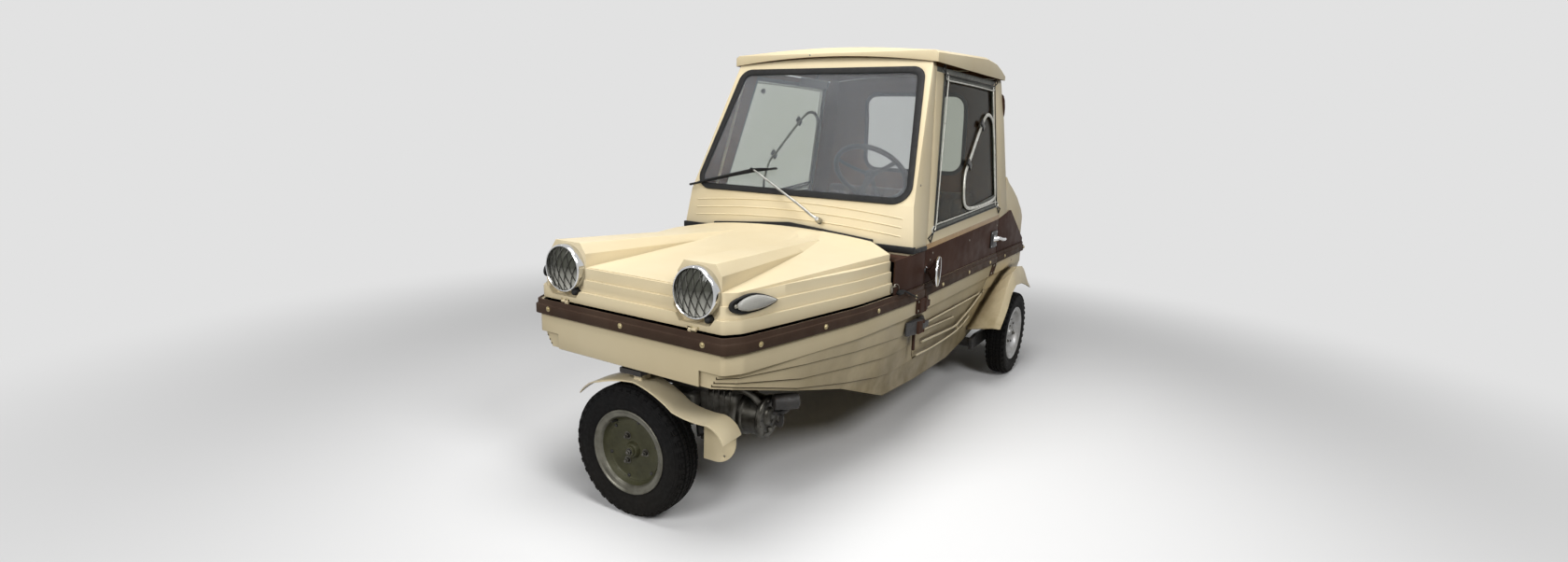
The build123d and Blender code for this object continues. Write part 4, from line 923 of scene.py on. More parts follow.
# door fittings: mirror on its stalk, lever handle in a black escutcheon
mirrorSettings = dict(
    shell=((-44, 0), (-44, 11), (-39, 13.5), (-31, 22), (-21, 37), (-11, 50), (-3, 58.5), (2.5, 61.2), (6, 61.2),
           (8.5, 59.5), (7.5, 56)),
    glass=((7.5, 56), (7.8, 0)),
    knob=((-12, 0), (-10.5, 7.2), (-4, 11.2), (4, 11.2), (10.5, 7.5), (12, 0)),
    foot=((0, 15), (3.5, 15), (6, 12), (8.5, 7.2)))
handleSettings = dict(
    boss=((6.5, 17.5), (9, 17.2), (15, 12.5), (30, 9.5), (33, 9.2)),
    grip=((24, -16, 10), (34, -10, 8), (41.5, 4, 3), (42.5, 30, -2), (42.5, 60, -5), (40.5, 78, -6)),
    screws=((6.5, -38, 31), (6.5, 44, 31), (6.5, -38, -36), (6.5, 44, -36)))


def makeMirror(bm, settings):
    place = turned((0.975, 0.22, 0), mm(598, -227, 745))
    lathe(bm, settings["shell"], place, 48, 0)
    lathe(bm, settings["glass"], place, 48, 2)
    knob = around(place, -50, 0, 0)
    lathe(bm, settings["knob"], turned((0.975, 0.22, 0), knob), 20, 1)
    foot = at(553.2, 1116, 748)
    reach = knob - foot
    length = reach.length * 1000
    lathe(bm, [*settings["foot"], (length * 0.6, 5.2), (length, 4.6)], turned(reach, foot), 20, 0)


def makeHandle(bm, settings, side):
    place = Matrix.Translation(at(553.2 * side, 2034, 772)) @ Matrix.Diagonal((side, 1, 1, 1))
    roundBox(bm, (-0.5, -46, -45), (6.5, 52, 40), 2.8, 1, place)
    roundBox(bm, (5.5, -30, -30), (8.5, 36, 26), 1.2, 1, place)
    lathe(bm, settings["boss"], place, 24, 0)
    sweep(bm, softPath(places(place, settings["grip"]), 4), circle(8.2, 12, 0.8), up=(1, 0, 0.2))
    screwRow(bm, places(place, settings["screws"]), (side, 0, 0), 2.6)


for side, body in doorSides:
    bm = bmesh.new()
    makeHandle(bm, handleSettings, side)
    if side == 1:
        makeMirror(bm, mirrorSettings)
    node = "door_left_fittings" if side == 1 else "door_right_handle"
    finishPiece(bm, body + "_chrome", [chromePlate, blackPlastic, mirrorFace], body, (node,))


# straps, raised mouldings and rivets; planks: (foot, outer half, inner half) of the hull's laps
# straps and pads: stations, levels, half width under them, thickness at both ends, rounding, lean
strapLevels, padLevels = (580, 639.5), (494, 548)
trimSettings = dict(
    top=577, planks=((497, 540, 535), (430, 527, 521), (330, 514, 507), (200, 499, 470)),
    beads=((5.5, ((1236, 411), (1330, 405), (1500, 394), (1640, 386), (1700, 388), (1745, 399), (1870, 441),
                  (2010, 490))),
           (4.5, ((1172, 505), (1300, 504), (1500, 503), (1700, 502), (1940, 502))),
           (3.5, ((1225, 471), (1340, 463), (1470, 455), (1600, 447))),
           (4.5, ((1190, 362), (1369, 352), (1600, 351), (1760, 362), (1880, 392)))),
    rivets=((1240, 508), (1384, 502), (1560, 508), (1157, 780), (1650, 806), (2085, 835), (1180, 806)),
    caps=((1709, 372), (1866, 424), (2010, 500)), cap=((-2, 11.5), (1.2, 11), (3, 7), (3.4, 0)),
    doorScrews=((559.5, 1146, 628), (559.5, 1146, 591), (557, 2086, 628), (557, 2052, 591)),
    bodyScrews=((560, 1048, 628), (560, 1048, 591), (557, 2128, 628), (557, 2094, 591)),
    sternScrews=((2215, 520), (2330, 566), (2440, 610), (2560, 628)),
    doorStraps=(((1106, 1156), strapLevels, 552.5, (17.6, 4.4), 1.2),
                ((2078, 2106), strapLevels, 552.5, (4.4, 4.4), 1.2, 0.9)),
    bodyStraps=(((1036, 1089), strapLevels, 552.5, (4.4, 17.6), 1.2),
                ((2117, 2147), strapLevels, 552.5, (4.4, 4.4), 1.2, 0.9),
                ((1078, 1093), (414, 496), 528, (9.5, 9.5), 1.5, -0.06)),
    doorPads=(((1106, 1162), padLevels, 534, (35.2, 6), 3),), bodyPads=(((990, 1089), padLevels, 533, (6, 36), 3),))


def hullHalf(station, z, settings=trimSettings):
    # half width of the lapped hull below the belt, along the doors
    top = settings["top"]
    if z > top:
        return planHalf(station)
    for low, outer, inner in settings["planks"]:
        if z > low:
            return outer + (inner - outer) * (top - z) / (top - low)
        top = low
    return 470


def onHull(s, z, lift=0):
    return at(hullHalf(s, z) + lift, s, z)


def taperPlate(bm, stations, heights, base, rises, width, lean=0.0):
    # a strap lying on the side, as thick at its two ends as the two rises, leaning by the given slope
    (s0, s1), (z0, z1), (first, last) = stations, heights, rises
    thick = max(rises)
    part = bmesh.new()
    bmesh.ops.create_cube(part, size=1.0)
    for vert in part.verts:
        x, y, z = (c + 0.5 for c in vert.co)
        vert.co = at(base + thick * x, s0 + (s1 - s0) * y, z0 + (z1 - z0) * z)
    soften(part, part.edges[:], width)
    for vert in part.verts:
        along = (stationOf(vert.co) - s0) / (s1 - s0)
        vert.co.x = (base + (vert.co.x * 1000 - base) * (first + (last - first) * along) / thick) / 1000
        vert.co.y -= lean * (z1 / 1000 - vert.co.z)
    addMesh(bm, part)


def taperPlates(bm, rows):
    for row in rows:
        taperPlate(bm, *row)


def makeDoorTrim(settings, side, body):
    beads, straps, rivets, pads = (bmesh.new() for _ in range(4))
    for radius, line in settings["beads"]:
        sweep(beads, softPath([onHull(s, z, 0.5) for s, z in line], 5), circle(radius, 8, 0.75), up=(1, 0, 0))
    for s, z in settings["rivets"]:
        screwHead(rivets, onHull(s, z) if z < settings["top"] else at(553, s, z), (1, 0, 0), 3)
    for s, z in settings["caps"]:
        lathe(rivets, settings["cap"], Matrix.Translation(onHull(s, z)), 16, 1)
    taperPlates(straps, settings["doorStraps"])
    taperPlates(pads, settings["doorPads"])
    screwRow(rivets, [at(*spot) for spot in settings["doorScrews"]], (1, 0, 0), 4.2)
    flipped = side < 0
    finishPiece(pads, body + "_hinge_pads", greyRubber, body, flipped=flipped)
    finishPiece(beads, body + "_mouldings", creamTrim, body, angle=50, flipped=flipped)
    finishPiece(straps, body + "_straps", brownGelcoat, body, flipped=flipped)
    finishPiece(rivets, body + "_rivets", [zincPlate, creamGelcoat], body, flipped=flipped)


def makeBodyTrim(settings):
    fixed, heads, pads = bmesh.new(), bmesh.new(), bmesh.new()
    taperPlates(fixed, settings["bodyStraps"])
    taperPlates(pads, settings["bodyPads"])
    screwRow(heads, [at(*spot) for spot in settings["bodyScrews"]], (1, 0, 0), 4.2)
    screwRow(heads, [onHull(s, z) for s, z in settings["sternScrews"]], (1, 0, 0), 3)
    finishPiece(fixed, "band_straps", brownGelcoat, "body", mirrored=True)
    finishPiece(heads, "band_strap_screws", zincPlate, "body", mirrored=True)
    finishPiece(pads, "hinge_pads", greyRubber, "body", mirrored=True)


for side, body in doorSides:
    makeDoorTrim(trimSettings, side, body)
makeBodyTrim(trimSettings)
print("stage: doors")


# wiper: silver arm from its boss on the cowl, black blade along the foot of the glass
# points are (across, up the glass, off the glass)
wiperSettings = dict(
    run=270, rise=563, foot=1005, boss=((-12, 12.5), (4, 12.5), (8, 10.5), (16, 10.5), (21, 8.5), (23, 0)),
    arm=((152, -94, 20), (120, -80, 23), (60, -46, 23), (-80, 26, 23), (-220, 98, 24)),
    blade=((-545, 8, 13), (-400, 48, 12), (-225, 92, 12), (-108, 113, 13)),
    rubber=((-2.2, -6), (2.2, -6), (3.6, 0), (4, 4), (-4, 4), (-3.6, 0)),
    bow=((-500, 22, 16), (-400, 50, 20), (-225, 96, 24), (-150, 107, 18)),
    pivot=((0, 7.5), (8, 7.5), (12, 5), (12, 0)))


def makeWiper(settings):
    bm = bmesh.new()
    run, rise = settings["run"], settings["rise"]
    length = math.hypot(run, rise)
    screen = Matrix((Vector((1, 0, 0)), Vector((0, run / length, rise / length)),
                     Vector((0, -rise / length, run / length)))).transposed().to_4x4()
    out = screen.to_3x3() @ upwards
    screen = Matrix.Translation(at(0, 982 + 2 * run / rise, settings["foot"])) @ screen
    lathe(bm, settings["boss"], turned(out, screen @ mm(152, -94, 2)), 20, 0)
    line = softPath(places(screen, settings["arm"]), 4)
    for index, (first, second) in enumerate(zip(line, line[1:])):
        width = 6.2 - 2.8 * index / len(line)
        sweep(bm, [first, second + (second - first) * 0.08], circle(width, 10, 0.55), up=out)
    sweep(bm, softPath(places(screen, settings["blade"]), 6), settings["rubber"], up=out, slot=1)
    sweep(bm, softPath(places(screen, settings["bow"]), 5), circle(4.2, 8, 0.7), up=out, slot=1)
    lathe(bm, settings["pivot"], turned(out, screen @ mm(-225, 97, 20)), 16, 1)
    finishPiece(bm, "wiper_arm_and_blade", [agedAluminium, blackRubber], "body", ("wiper",), 40)


makeWiper(wiperSettings)


# three ribs pressed into the cowl, and the mirror inside the glass
def makeCowlRibs(drops=(0, 34, 68), half=498):
    bm = bmesh.new()
    for drop in drops:
        path = []
        for step in range(25):
            x = (step / 12 - 1) * half
            z = 982 - drop - 26 * (x / half) ** 2
            path.append(at(x, 962.5 + (z - 862) * 20 / 141, z))
        sweep(bm, path, circle(3, 8, 0.8), up=(0, -1, 0.1))
    finishPiece(bm, "cowl_ribs", creamTrim, "body", angle=60)


def tilted(spot, first, firstAxis, second, secondAxis):
    turn = Matrix.Rotation(math.radians(first), 4, firstAxis) @ Matrix.Rotation(math.radians(second), 4, secondAxis)
    return Matrix.Translation(spot) @ turn


def makeInsideMirror():
    bm = bmesh.new()
    stem = [at(-62, 1262, 1522), at(-66, 1268, 1508), at(-80, 1272, 1490)]
    sweep(bm, softPath(stem, 4), circle(4, 10), up=(1, 0, 0))
    roundBox(bm, (-72, -8, -19), (72, 6, 19), 6, 0, tilted(at(-86, 1272, 1478), 8, "Y", -6, "X"), 3)
    finishPiece(bm, "inside_mirror", blackPlastic, "body")


makeCowlRibs()
makeInsideMirror()


# window furniture: bent tube and seals, blocks and rivets of the small hinged panes; lines are (station, height)
windowSettings = dict(
    vent=((1566, 1000), (1590, 1104), (1660, 1166), (1870, 1340), (1960, 1378), (2030, 1350), (2047, 1280),
          (2050, 1130), (2050, 1010), (2030, 975), (1900, 958), (1700, 951), (1600, 960)),
    inner=((1212, 935), (1392, 1480), (1412, 1496), (2018, 1496), (2040, 1474), (2040, 968), (2028, 956), (1228, 920)),
    outer=((1180, 903), (1366, 1512), (1376, 1518), (2060, 1518), (2064, 1512), (2064, 940), (2060, 935), (1186, 896)),
    hinges=((1850, 1326), (1640, 1148)), hingeScrews=[(6.5, y, z) for y in (-15, 15) for z in (-7, 7)],
    rivets=((1578, 1052), (1640, 957), (1760, 953), (1900, 960), (2048, 1080), (2048, 1220), (1752, 1243)),
    rivet=((0, 3), (1.2, 2.8), (2.2, 1.5), (2.4, 0)), cabRivet=((-1, 4.2), (1, 4), (2.2, 2), (2.4, 0)),
    knob=((-1, 6), (6, 6), (8, 12.5), (14, 13), (18, 10.5), (19, 0)))


def paneX(z):
    # how far out the leaning door pane stands at a height
    return 553.3 - 0.1097 * (z - 862)


def makeDoorFrame(settings, side, body):
    # the CAD ring keeps its shape; the pane's bar is drawn again as a bent tube
    bm = bmesh.new()
    bm.from_mesh(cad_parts[body + "_frame"].data)
    bmesh.ops.remove_doubles(bm, verts=bm.verts, dist=weld)
    inside = []
    for face in bm.faces:
        spots = [(stationOf(v.co), v.co.z * 1000) for v in face.verts]
        if all(s - (1174 + (z - 890) * 195 / 633) > 26 and s < 2046 and z < 1500
               and z - (890 + (s - 1174) * 39 / 894) > 24 for s, z in spots):
            inside.append(face)
    bmesh.ops.delete(bm, geom=inside, context="FACES")
    soften(bm, creases(bm, 0.5), 1.5)
    out = Vector((side, 0, 0.11)).normalized()
    for line, lift, parts, profile, slot in (("inner", 1.2, 6, circle(3.2, 8, 0.9), 1),
                                             ("outer", 2.4, 3, circle(2.6, 8, 0.9), 2),
                                             ("vent", -0.6, 6, circle(8.2, 12, 0.62), 1)):
        spots = [at((paneX(z) + lift) * side, s, z) for s, z in settings[line]]
        sweep(bm, softPath(spots, parts, closed=True), profile, closed=True, up=out, slot=slot)
    bmesh.ops.recalc_face_normals(bm, faces=[f for f in bm.faces if f.material_index])
    finishPiece(bm, body + "_window_frame", [windowStrip, brightAluminium, blackRubber], body,
                (body + "_frame",), 40, outward=False)


def makeWindowTrim(settings, side, body):
    blocks, knob = bmesh.new(), bmesh.new()
    for s, z in settings["hinges"]:
        place = tilted(at(paneX(z) + 3, s, z), -40, "X", math.degrees(-0.109), "Y")
        roundBox(blocks, (-4, -24, -15), (6.5, 24, 15), 2, 0, place)
        screwRow(blocks, places(place, settings["hingeScrews"]), (1, 0, 0.1), 2.2, 1)
    for s, z in settings["rivets"]:
        lathe(blocks, settings["rivet"], turned((1, 0, 0.1), at(paneX(z) + 3.6, s, z)), 10, 1)
    finishPiece(blocks, body + "_pane_hinges", [blackPlastic, zincPlate], body, flipped=side < 0)
    spot = at((paneX(1458) - 12) * side, 1433, 1458)
    lathe(knob, settings["knob"], turned((-side, 0, -0.1), spot), 24)
    finishPiece(knob, body + "_window_knob", blackPlastic, body, outward=False)


def makeCabRivets(settings):
    rivets = bmesh.new()
    for spot, normal in ((at(470, 1250, 1580), (0.3, -1, 0.4)), (at(-96, 1243, 1597), (0, -1, 0.2)),
                         (at(551, 1000, 1085), (1, -0.1, 0.1))):
        lathe(rivets, settings["cabRivet"], turned(normal, spot), 10)
    finishPiece(rivets, "cab_rivets", zincPlate, "body", outward=False)


for side, body in doorSides:
    makeDoorFrame(windowSettings, side, body)
    makeWindowTrim(windowSettings, side, body)
makeCabRivets(windowSettings)
print("stage: cab")


# dark lines of painted shadow under each lap of the hull
def makeLapLines(radius=3.8):
    bm = bmesh.new()
    for first, second in lapEdges:
        upright = abs((second - first).normalized().z) >= 0.9
        sweep(bm, [first, second], circle(radius, 6), up=(1, 0, 0) if upright else upwards)
    finishPiece(bm, "hull_lap_shadow", lapShadow, "body", angle=60)


makeLapLines()


# engine beside the fork: ribbed casting, flanged drum, ducts and links, all turning with the steering
# boxes: low corner, high corner, rounding, finish, segments; rods: points, parts between them, profile, up, finish
engineSettings = dict(
    turn=-86.8, ribs=7, ribPitch=21, drumBolts=8, slots=6,
    boxes=(((-298, 126, 270), (-138, 284, 428), 22, 0, 3),
           ((-302, 140, 340), (-292, 270, 352), 3, 0, 2),
           ((-270, 160, 262), (-170, 262, 274), 4, 1, 2),
           ((-164, 22, 304), (-93, 150, 416), 12, 0, 3),
           ((-150, 16, 318), (-110, 24, 402), 3, 1, 2),
           ((-176, -60, 432), (-98, 200, 486), 12, 1, 3)),  # the last is a pressed air shroud, up inside the bow, whose black also stands in for shade there: painted shade
    drum=((0, 58), (4, 72), (12, 74.5), (20, 74.5), (22.5, 72.5), (25, 69), (60, 66), (74, 65.5), (76.5, 70),
          (80, 72.2), (88, 72.2), (91.5, 70), (93.5, 65), (92.5, 56), (89, 52), (89, 33), (94, 30), (98, 24), (99, 0)),
    slot=((0, 5.8), (1.2, 5.2), (1.2, 0)), flange=((-4, 0), (-4, 17), (4, 17), (4, 0)),
    silencer=((-6, 0), (-6, 18), (-1, 25.5), (4, 26.8), (74, 26.8), (79, 25.5), (83, 18), (83, 0)),
    eye=((-7, 0), (-7, 8.5), (-4, 10), (4, 10), (7, 8.5), (7, 0)),
    inlet=((-168, 262, 428), (-164, 300, 440), (-172, 334, 424), (-190, 350, 392)),
    outlet=((-236, 366, 356), (-256, 388, 352), (-270, 408, 366), (-268, 424, 388)),
    link=((-128, 170, 262), (-190, 296, 290), (-226, 366, 300)),
    strut=((-130, 156, 262), (-128, 150, 330), (-122, 140, 425)),
    lug=((-248, 374, 318), (-250, 392, 312), (-246, 400, 330), (-240, 402, 352)),
    nuts=((-302, 158, 400), (-302, 250, 400), (-302, 158, 300), (-302, 250, 300)))


def makeEngine(settings):
    bm = bmesh.new()
    unit = Matrix.Translation(at(0, 63, 0)) @ Matrix.Rotation(math.radians(settings["turn"]), 4, "Z")
    for low, high, width, slot, segments in settings["boxes"]:
        roundBox(bm, low, high, width, slot, unit, segments)
    for index in range(settings["ribs"]):
        y = 136 + index * settings["ribPitch"]
        roundBox(bm, (-301.5, y, 292), (-136, y + 4.2, 434.5), 1.2, 0, unit)
    drum = unit @ turned((0, 1, 0), mm(-220, 276, 346))
    lathe(bm, settings["drum"], drum, 56, 3)
    outward = drum.to_3x3() @ Vector((1, 0, 0))
    for angle in turns(settings["drumBolts"]):
        hexNut(bm, around(drum, 90.5, 61, angle + 0.3 * fullTurn / settings["drumBolts"]), outward, 4.8, 4, 2)
    for angle in turns(settings["slots"]):
        lathe(bm, settings["slot"], turned(outward, around(drum, 88.5, 43, angle)), 12, 1)
    inlet, outlet = places(unit, settings["inlet"]), places(unit, settings["outlet"])
    link, strut, lug = (places(unit, settings[key]) for key in ("link", "strut", "lug"))
    sweep(bm, softPath(inlet, 6), circle(11.5, 14), up=(0.2, 0.1, 1))
    lathe(bm, settings["flange"], turned(inlet[0] - inlet[1], inlet[0]), 20, 0)
    sweep(bm, softPath(outlet, 6), circle(9.5, 14), up=(0.2, 0.1, 1), slot=1)
    start, end = places(unit, ((-222, 384, 400), (-276, 444, 400)))
    lathe(bm, settings["silencer"], turned(end - start, start), 32, 1)
    sweep(bm, link, circle(5.2, 10), slot=2)
    for point in (link[0], link[-1]):
        lathe(bm, settings["eye"], turned(upwards, point), 16, 2)
    sweep(bm, strut, bar(13, 4), up=(1, 0, 0), slot=1)
    sweep(bm, softPath(lug, 5), bar(8, 3), up=(0, 1, 0.2), slot=1)
    for spot in places(unit, settings["nuts"]):
        hexNut(bm, spot, unit.to_3x3() @ Vector((-1, 0, 0)), 6.5, 5, 2)
    finishPiece(bm, "engine_and_gearbox", [castAlloy, chassisBlack, castAlloy, drumAlloy], "steered_unit",
                ("engine_unit",), 32)


makeEngine(engineSettings)
print("stage: engine")


# steering wheel: moulded rim, three flat spokes and a domed button
handwheelSettings = dict(
    axis=Vector((0, 624, 586)).normalized(), hub=at(130, 1450, 1090), rim=170, grip=11.8,
    boss=((-25, 0), (-25, 22), (-6, 24.5), (2, 24.5), (6, 22.5), (9, 16), (10.5, 0)),
    button=((7, 16), (11, 15), (12.5, 11), (13, 0)),
    spoke=((20, 8, 13), (70, 9, 10.5), (130, 6, 9.5), (164, 1, 11)),  # distance out, depth below the hub, half width
    section=((-1, -0.5), (-0.7, -1), (0.7, -1), (1, -0.5), (1, 0.5), (0.7, 1), (-0.7, 1), (-1, 0.5)), spokeHalf=4.2)


def makeHandwheel(settings):
    bm = bmesh.new()
    axis, hub, grip = settings["axis"], settings["hub"], settings["grip"]
    place = turned(axis, hub)
    ring = [(grip * math.cos(a), settings["rim"] + grip * math.sin(a)) for a in turns(12)]
    lathe(bm, ring + ring[:1], place, 96, 0)
    lathe(bm, settings["boss"], place, 36, 0)
    lathe(bm, settings["button"], place, 28, 1)
    down = Vector((0, axis.z, -axis.y))
    for angle in (math.radians(turn) for turn in (90, 210, 330)):
        along = Vector((1, 0, 0)) * math.cos(angle) + down * math.sin(angle)
        side = axis.cross(along)
        rings = []
        for reach, depth, wide in settings["spoke"]:
            point = hub + along * (reach / 1000) - axis * (depth / 1000)
            rings.append([bm.verts.new(point + side * (u * wide / 1000) + axis * (v * settings["spokeHalf"] / 1000))
                          for u, v in settings["section"]])
        bridged(bm, rings)
    finishPiece(bm, "handwheel_rim_and_spokes", [blackPlastic, chromePlate], "handwheel",
                ("handwheel",))


makeHandwheel(handwheelSettings)


# dashboard fittings: one dial, three pull knobs and a key switch
dashSettings = dict(
    bezel=((-2, 46), (6, 46), (9.5, 44.5), (10.5, 42.5), (9.5, 40.5), (4, 40), (4, 0)), card=((4.2, 39.8), (4.6, 0)),
    marks=9, knobs=(20, -30, -80), knob=((-1, 12), (2, 12), (3, 5), (14, 4.5), (16, 9), (22, 9.45), (26, 6.3), (27, 0)),
    lock=((-1, 14), (3, 13.5), (5, 10), (5, 0)))


def makeDashFittings(settings):
    bm = bmesh.new()
    face = Vector((0, 0.994, -0.106)).normalized()

    def onDash(x, z):
        return at(x, 1112.4 - (975 - z) * 12 / 113, z)

    dial = turned(face, onDash(130, 922))
    lathe(bm, settings["bezel"], dial, 48, 0)
    lathe(bm, settings["card"], dial, 48, 1)
    for index in range(settings["marks"]):
        angle = math.radians(210 - 30 * index)
        sweep(bm, [around(dial, 4.9, 33, angle), around(dial, 4.9, 38, angle)], bar(0.8, 0.3), up=face, slot=2)
    sweep(bm, places(dial, ((5.2, 0, -4), (5.2, -22, 24))), circle(0.7, 5), up=face, slot=2)
    for x in settings["knobs"]:
        lathe(bm, settings["knob"], turned(face, onDash(x, 905)), 22, 3)
    lathe(bm, settings["lock"], turned(face, onDash(214, 905)), 26, 0)
    key = Matrix.Translation(onDash(214, 905))
    roundBox(bm, (-1.8, 4, -5), (1.8, 22, 5), 0.6, 0, key)
    finishPiece(bm, "dashboard_fittings", [chromePlate, dialFace, dialWhite, blackPlastic], "body")


makeDashFittings(dashSettings)


# seat: vinyl over foam, blown up as cloth, then sewn channels pulled in
cushionSettings = dict(
    name="seat_cushion_pad", node="seat_cushion", low=(-428, 1492, 502), high=(428, 1933, 590), lean=0.0, cap=16,
    face=upwards, floor=500.5, rear=1934.5)
backSettings = dict(
    name="seat_back_pad", node="seat_back", low=(-428, 1940, 504), high=(428, 2036, 1004), lean=95 / 510, cap=14,
    face=Vector((0, -1, 0)), floor=501, rear=2044)
padSettings = dict(shrink=7, corner=24, pressure=4.0, frames=20, seams=range(-330, 331, 66), seamHalf=6.5, channel=6)


def blockMesh(settings):
    # the plain block a pad starts from, a little smaller than the solid
    bm = bmesh.new()
    bmesh.ops.create_cube(bm, size=1.0)
    shrink = padSettings["shrink"]
    for vert in bm.verts:
        vert.co = at(*((a + shrink) * (0.5 - c) + (b - shrink) * (0.5 + c)
                       for a, b, c in zip(settings["low"], settings["high"], vert.co)))
    soften(bm, bm.edges[:], padSettings["corner"], 4)
    bmesh.ops.triangulate(bm, faces=bm.faces[:])
    mesh = bpy.data.meshes.new(settings["name"])
    bm.to_mesh(mesh)
    bm.free()
    return mesh


def evaluated(pad):
    # the pad's mesh with its modifiers applied
    mesh = bpy.data.meshes.new_from_object(pad.evaluated_get(bpy.context.evaluated_depsgraph_get()))
    pad.modifiers.clear()
    return mesh


def blowUp(pad):
    # where cloth under pressure carries each point
    cloth = pad.modifiers.new("cloth", "CLOTH")
    cloth.settings.use_pressure = True
    cloth.settings.uniform_pressure_force = padSettings["pressure"]
    cloth.settings.effector_weights.gravity = 0.0
    cloth.settings.quality = 4
    cloth.point_cache.frame_start = 1
    cloth.point_cache.frame_end = padSettings["frames"]
    for step in range(1, padSettings["frames"] + 1):
        scene.frame_set(step)
    blown = evaluated(pad)
    moved = [v.co.copy() for v in blown.vertices]
    bpy.data.meshes.remove(blown)
    scene.frame_set(1)
    return moved


def makePad(settings):
    block = blockMesh(settings)
    pad = bpy.data.objects.new(settings["name"], block)
    scene.collection.objects.link(pad)
    remesh = pad.modifiers.new("remesh", "REMESH")
    remesh.mode = "VOXEL"
    remesh.voxel_size = 0.006
    dense = pad.data = evaluated(pad)
    bpy.data.meshes.remove(block)
    still = [v.co.copy() for v in dense.vertices]
    moved = blowUp(pad)
    cap = settings["cap"] / 1000
    for vert, before, after in zip(dense.vertices, still, moved):
        shift = after - before
        if shift.length > cap:
            shift *= cap / shift.length
        vert.co = before + shift
    dense.update()
    normals = [v.normal.copy() for v in dense.vertices]
    floor, rear = settings["floor"] / 1000, at(0, settings["rear"], 0).y
    for vert, normal in zip(dense.vertices, normals):
        if normal.dot(settings["face"]) > 0.3:
            dip = sum(math.exp(-((vert.co.x * 1000 - seam) / padSettings["seamHalf"]) ** 2)
                      for seam in padSettings["seams"])
            vert.co -= normal * (padSettings["channel"] / 1000 * dip)
        vert.co.z = max(vert.co.z, floor)
        vert.co.y = min(vert.co.y, rear) + settings["lean"] * (vert.co.z - 0.5)
    dense.materials.append(seatVinyl)
    dense.polygons.foreach_set("use_smooth", [True] * len(dense.polygons))
    smooth = pad.modifiers.new("smooth", "SUBSURF")
    smooth.levels = smooth.render_levels = 1
    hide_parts(settings["node"])
    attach(pad, "body")


makePad(cushionSettings)
makePad(backSettings)
print("stage: seats")


# tail lamps and the brown scoops at the cab's rear corners; scoop: (height, reach out, half width)
tailSettings = dict(
    lens=((2, 0), (2, 33.5), (12, 33.5), (16.5, 31.5), (18.5, 27), (20.5, 25.5), (23, 19), (25, 16.5), (25.8, 9),
          (26, 0)),
    ring=((0.2, 0), (0.2, 37.8), (10, 37.8), (13, 36.2), (13, 34.2), (4, 34), (4, 0)),
    scoop=((1361, 2, 3), (1368, 10, 10), (1390, 18, 16), (1425, 20, 18), (1460, 16, 16), (1482, 9, 10), (1490, 2, 3)))


def makeTail(settings):
    lenses, rims, scoops = bmesh.new(), bmesh.new(), bmesh.new()
    place = turned((0, 1, 0), at(430, 2680, 500))
    lathe(lenses, settings["lens"], place, 40)
    lathe(rims, settings["ring"], place, 40)
    rings = []
    for z, reach, half in settings["scoop"]:
        centre = at(478, 2205 + (1566 - z) * 45 / 206, z)
        rings.append([scoops.verts.new(centre + mm(half * math.cos(a), reach * max(math.sin(a), -0.3), 0))
                      for a in turns(12)])
    loops = bridged(scoops, rings)
    bmesh.ops.holes_fill(scoops, edges=loops[0] + loops[-1], sides=12)
    finishPiece(lenses, "tail_lamp_lenses", redLens, "body", ("tail_lamps",), 30, mirrored=True)
    finishPiece(rims, "tail_lamp_rings", blackRubber, "body", mirrored=True)
    finishPiece(scoops, "cab_scoops", brownGelcoat, "body", angle=50, mirrored=True)


makeTail(tailSettings)
print("stage: tail")


def seenStraight(tree):
    # one where the camera, a pane or a mirror looks at the surface
    seen = addNode(tree, "ShaderNodeLightPath").outputs
    through = maths(tree, "MAXIMUM", seen["Is Camera Ray"], seen["Is Transmission Ray"])
    return maths(tree, "MAXIMUM", through, seen["Is Glossy Ray"])


def emptyTree(owner):
    owner.use_nodes = True
    owner.node_tree.nodes.clear()
    return owner.node_tree


def shaderMix(tree, amount, first, second):
    return addNode(tree, "ShaderNodeMixShader", {0: amount, 1: first.outputs[0], 2: second.outputs[0]}).outputs[0]


# floor and backdrop: near the car a pale studio floor with a painted pool of light, farther out the backdrop's own grey
def stageMaterial():
    material = bpy.data.materials.new("studioPaper")
    tree = emptyTree(material)
    coords = addNode(tree, "ShaderNodeTexCoord").outputs["Object"]
    reach = addNode(tree, "ShaderNodeVectorMath", {0: coords}, operation="LENGTH").outputs["Value"]
    straight = seenStraight(tree)
    fade = remap(tree, reach, 1.7, 4.2, interpolation_type="SMOOTHSTEP")
    # painted pool of light: the floor is palest close to the car and greyer farther out; to other rays it is a dark
    # grey
    nearby = remap(tree, reach, 0.8, 2.8, interpolation_type="SMOOTHSTEP")
    pale = mixColour(tree, nearby, srgb("#F2F2F2"), srgb("#D8D8D8"))
    tone = mixColour(tree, straight, srgb("#7E7B72"), pale)
    paper = addNode(tree, "ShaderNodeBsdfDiffuse", {"Color": tone})
    glow = addNode(tree, "ShaderNodeEmission", {"Color": srgb("#E2E2E2"), "Strength": 1.0})
    blend = shaderMix(tree, maths(tree, "MULTIPLY", fade, straight), paper, glow)
    addNode(tree, "ShaderNodeOutputMaterial", {"Surface": blend})
    return material


floorMesh = bmesh.new()
bmesh.ops.create_circle(floorMesh, cap_ends=True, radius=40, segments=96)
floorData = bpy.data.meshes.new("studioFloor")
floorMesh.to_mesh(floorData)
floorMesh.free()
floorData.materials.append(stageMaterial())
studioFloor = bpy.data.objects.new("studioFloor", floorData)
scene.collection.objects.link(studioFloor)

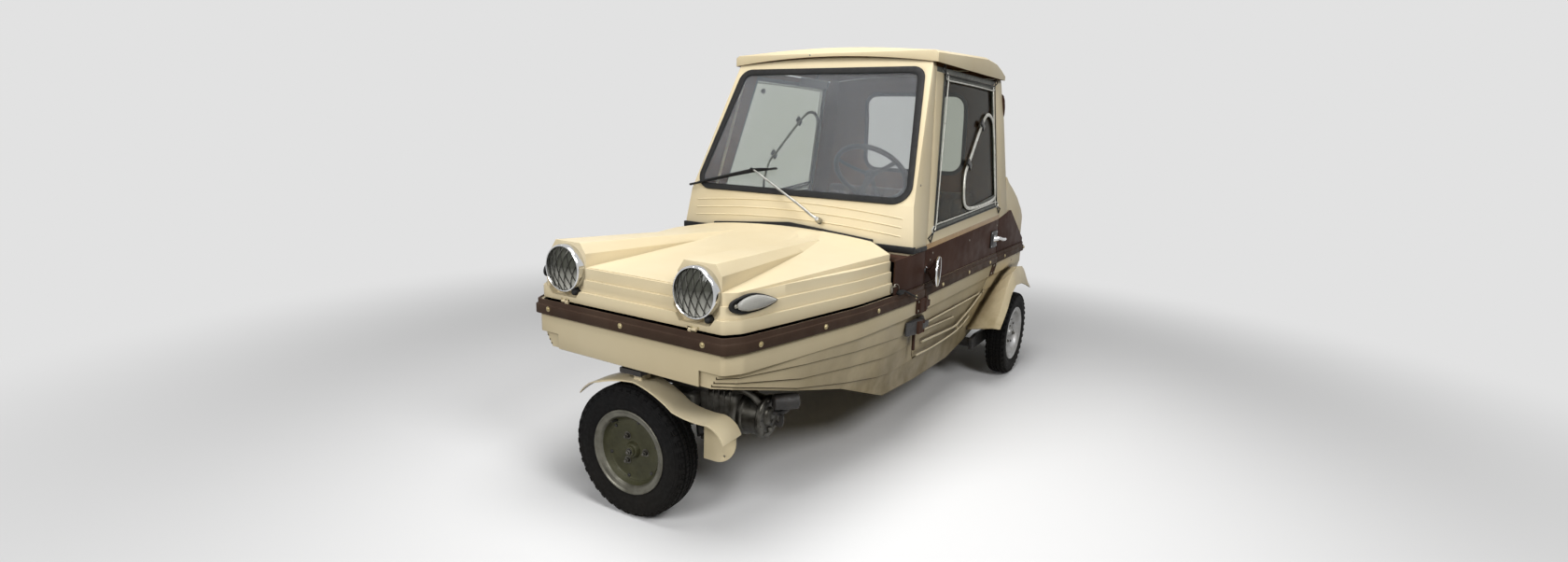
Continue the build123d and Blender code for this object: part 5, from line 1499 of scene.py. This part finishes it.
world = bpy.data.worlds.new("studio")
scene.world = world
tree = emptyTree(world)
ambient = addNode(tree, "ShaderNodeBackground", {"Color": white, "Strength": 0.06})
backdrop = addNode(tree, "ShaderNodeBackground", {"Color": srgb("#E2E2E2"), "Strength": 1.0})
addNode(tree, "ShaderNodeOutputWorld", {"Surface": shaderMix(tree, seenStraight(tree), ambient, backdrop)})

# name: place, target, size, power
panels = dict(
    skyPanel=((0.2, -1.0, 5.2), (0, 0, 0.5), 3.2, 165),
    frontPanel=((0.3, -5.3, 3.0), (0, -0.3, 0.7), 2.0, 124),
    sidePanel=((3.9, -2.2, 4.0), (0, 0, 0.8), 2.0, 118))
for name, (place, target, size, power) in panels.items():
    data = bpy.data.lights.new(name, "AREA")
    data.shape = "DISK"
    data.size = size
    data.energy = power
    lamp = bpy.data.objects.new(name, data)
    scene.collection.objects.link(lamp)
    lamp.location = place
    lamp.rotation_euler = (Vector(target) - Vector(place)).to_track_quat("-Z", "Y").to_euler()

# the camera: its focal length in pixels of a frame 1680 wide, its place from the belt's face, its angles in radians
cameraSettings = dict(focal=757.459, width=1680, sensor=36.0, place=(1538.8, -1536.5, 1262.9), azimuth=0.556641,
                      pitch=0.206935, roll=0.033622)
cameraData = bpy.data.cameras.new("camera")
cameraData.sensor_fit = "HORIZONTAL"
cameraData.sensor_width = cameraSettings["sensor"]
cameraData.lens = cameraSettings["focal"] / cameraSettings["width"] * cameraSettings["sensor"]
camera = bpy.data.objects.new("camera", cameraData)
scene.collection.objects.link(camera)
azimuth, pitch, roll = (cameraSettings[key] for key in ("azimuth", "pitch", "roll"))
forward = Vector((-math.sin(azimuth) * math.cos(pitch), math.cos(azimuth) * math.cos(pitch), -math.sin(pitch)))
right = Vector((math.cos(azimuth), math.sin(azimuth), 0))
above = right.cross(forward)
rolledRight = math.cos(roll) * right + math.sin(roll) * above
rolledAbove = -math.sin(roll) * right + math.cos(roll) * above
turn = Matrix((rolledRight, rolledAbove, -forward)).transposed().to_4x4()
camera.matrix_world = Matrix.Translation(at(*cameraSettings["place"])) @ turn
scene.camera = camera
scene.view_settings.view_transform = "Standard"
print("stage: studio")
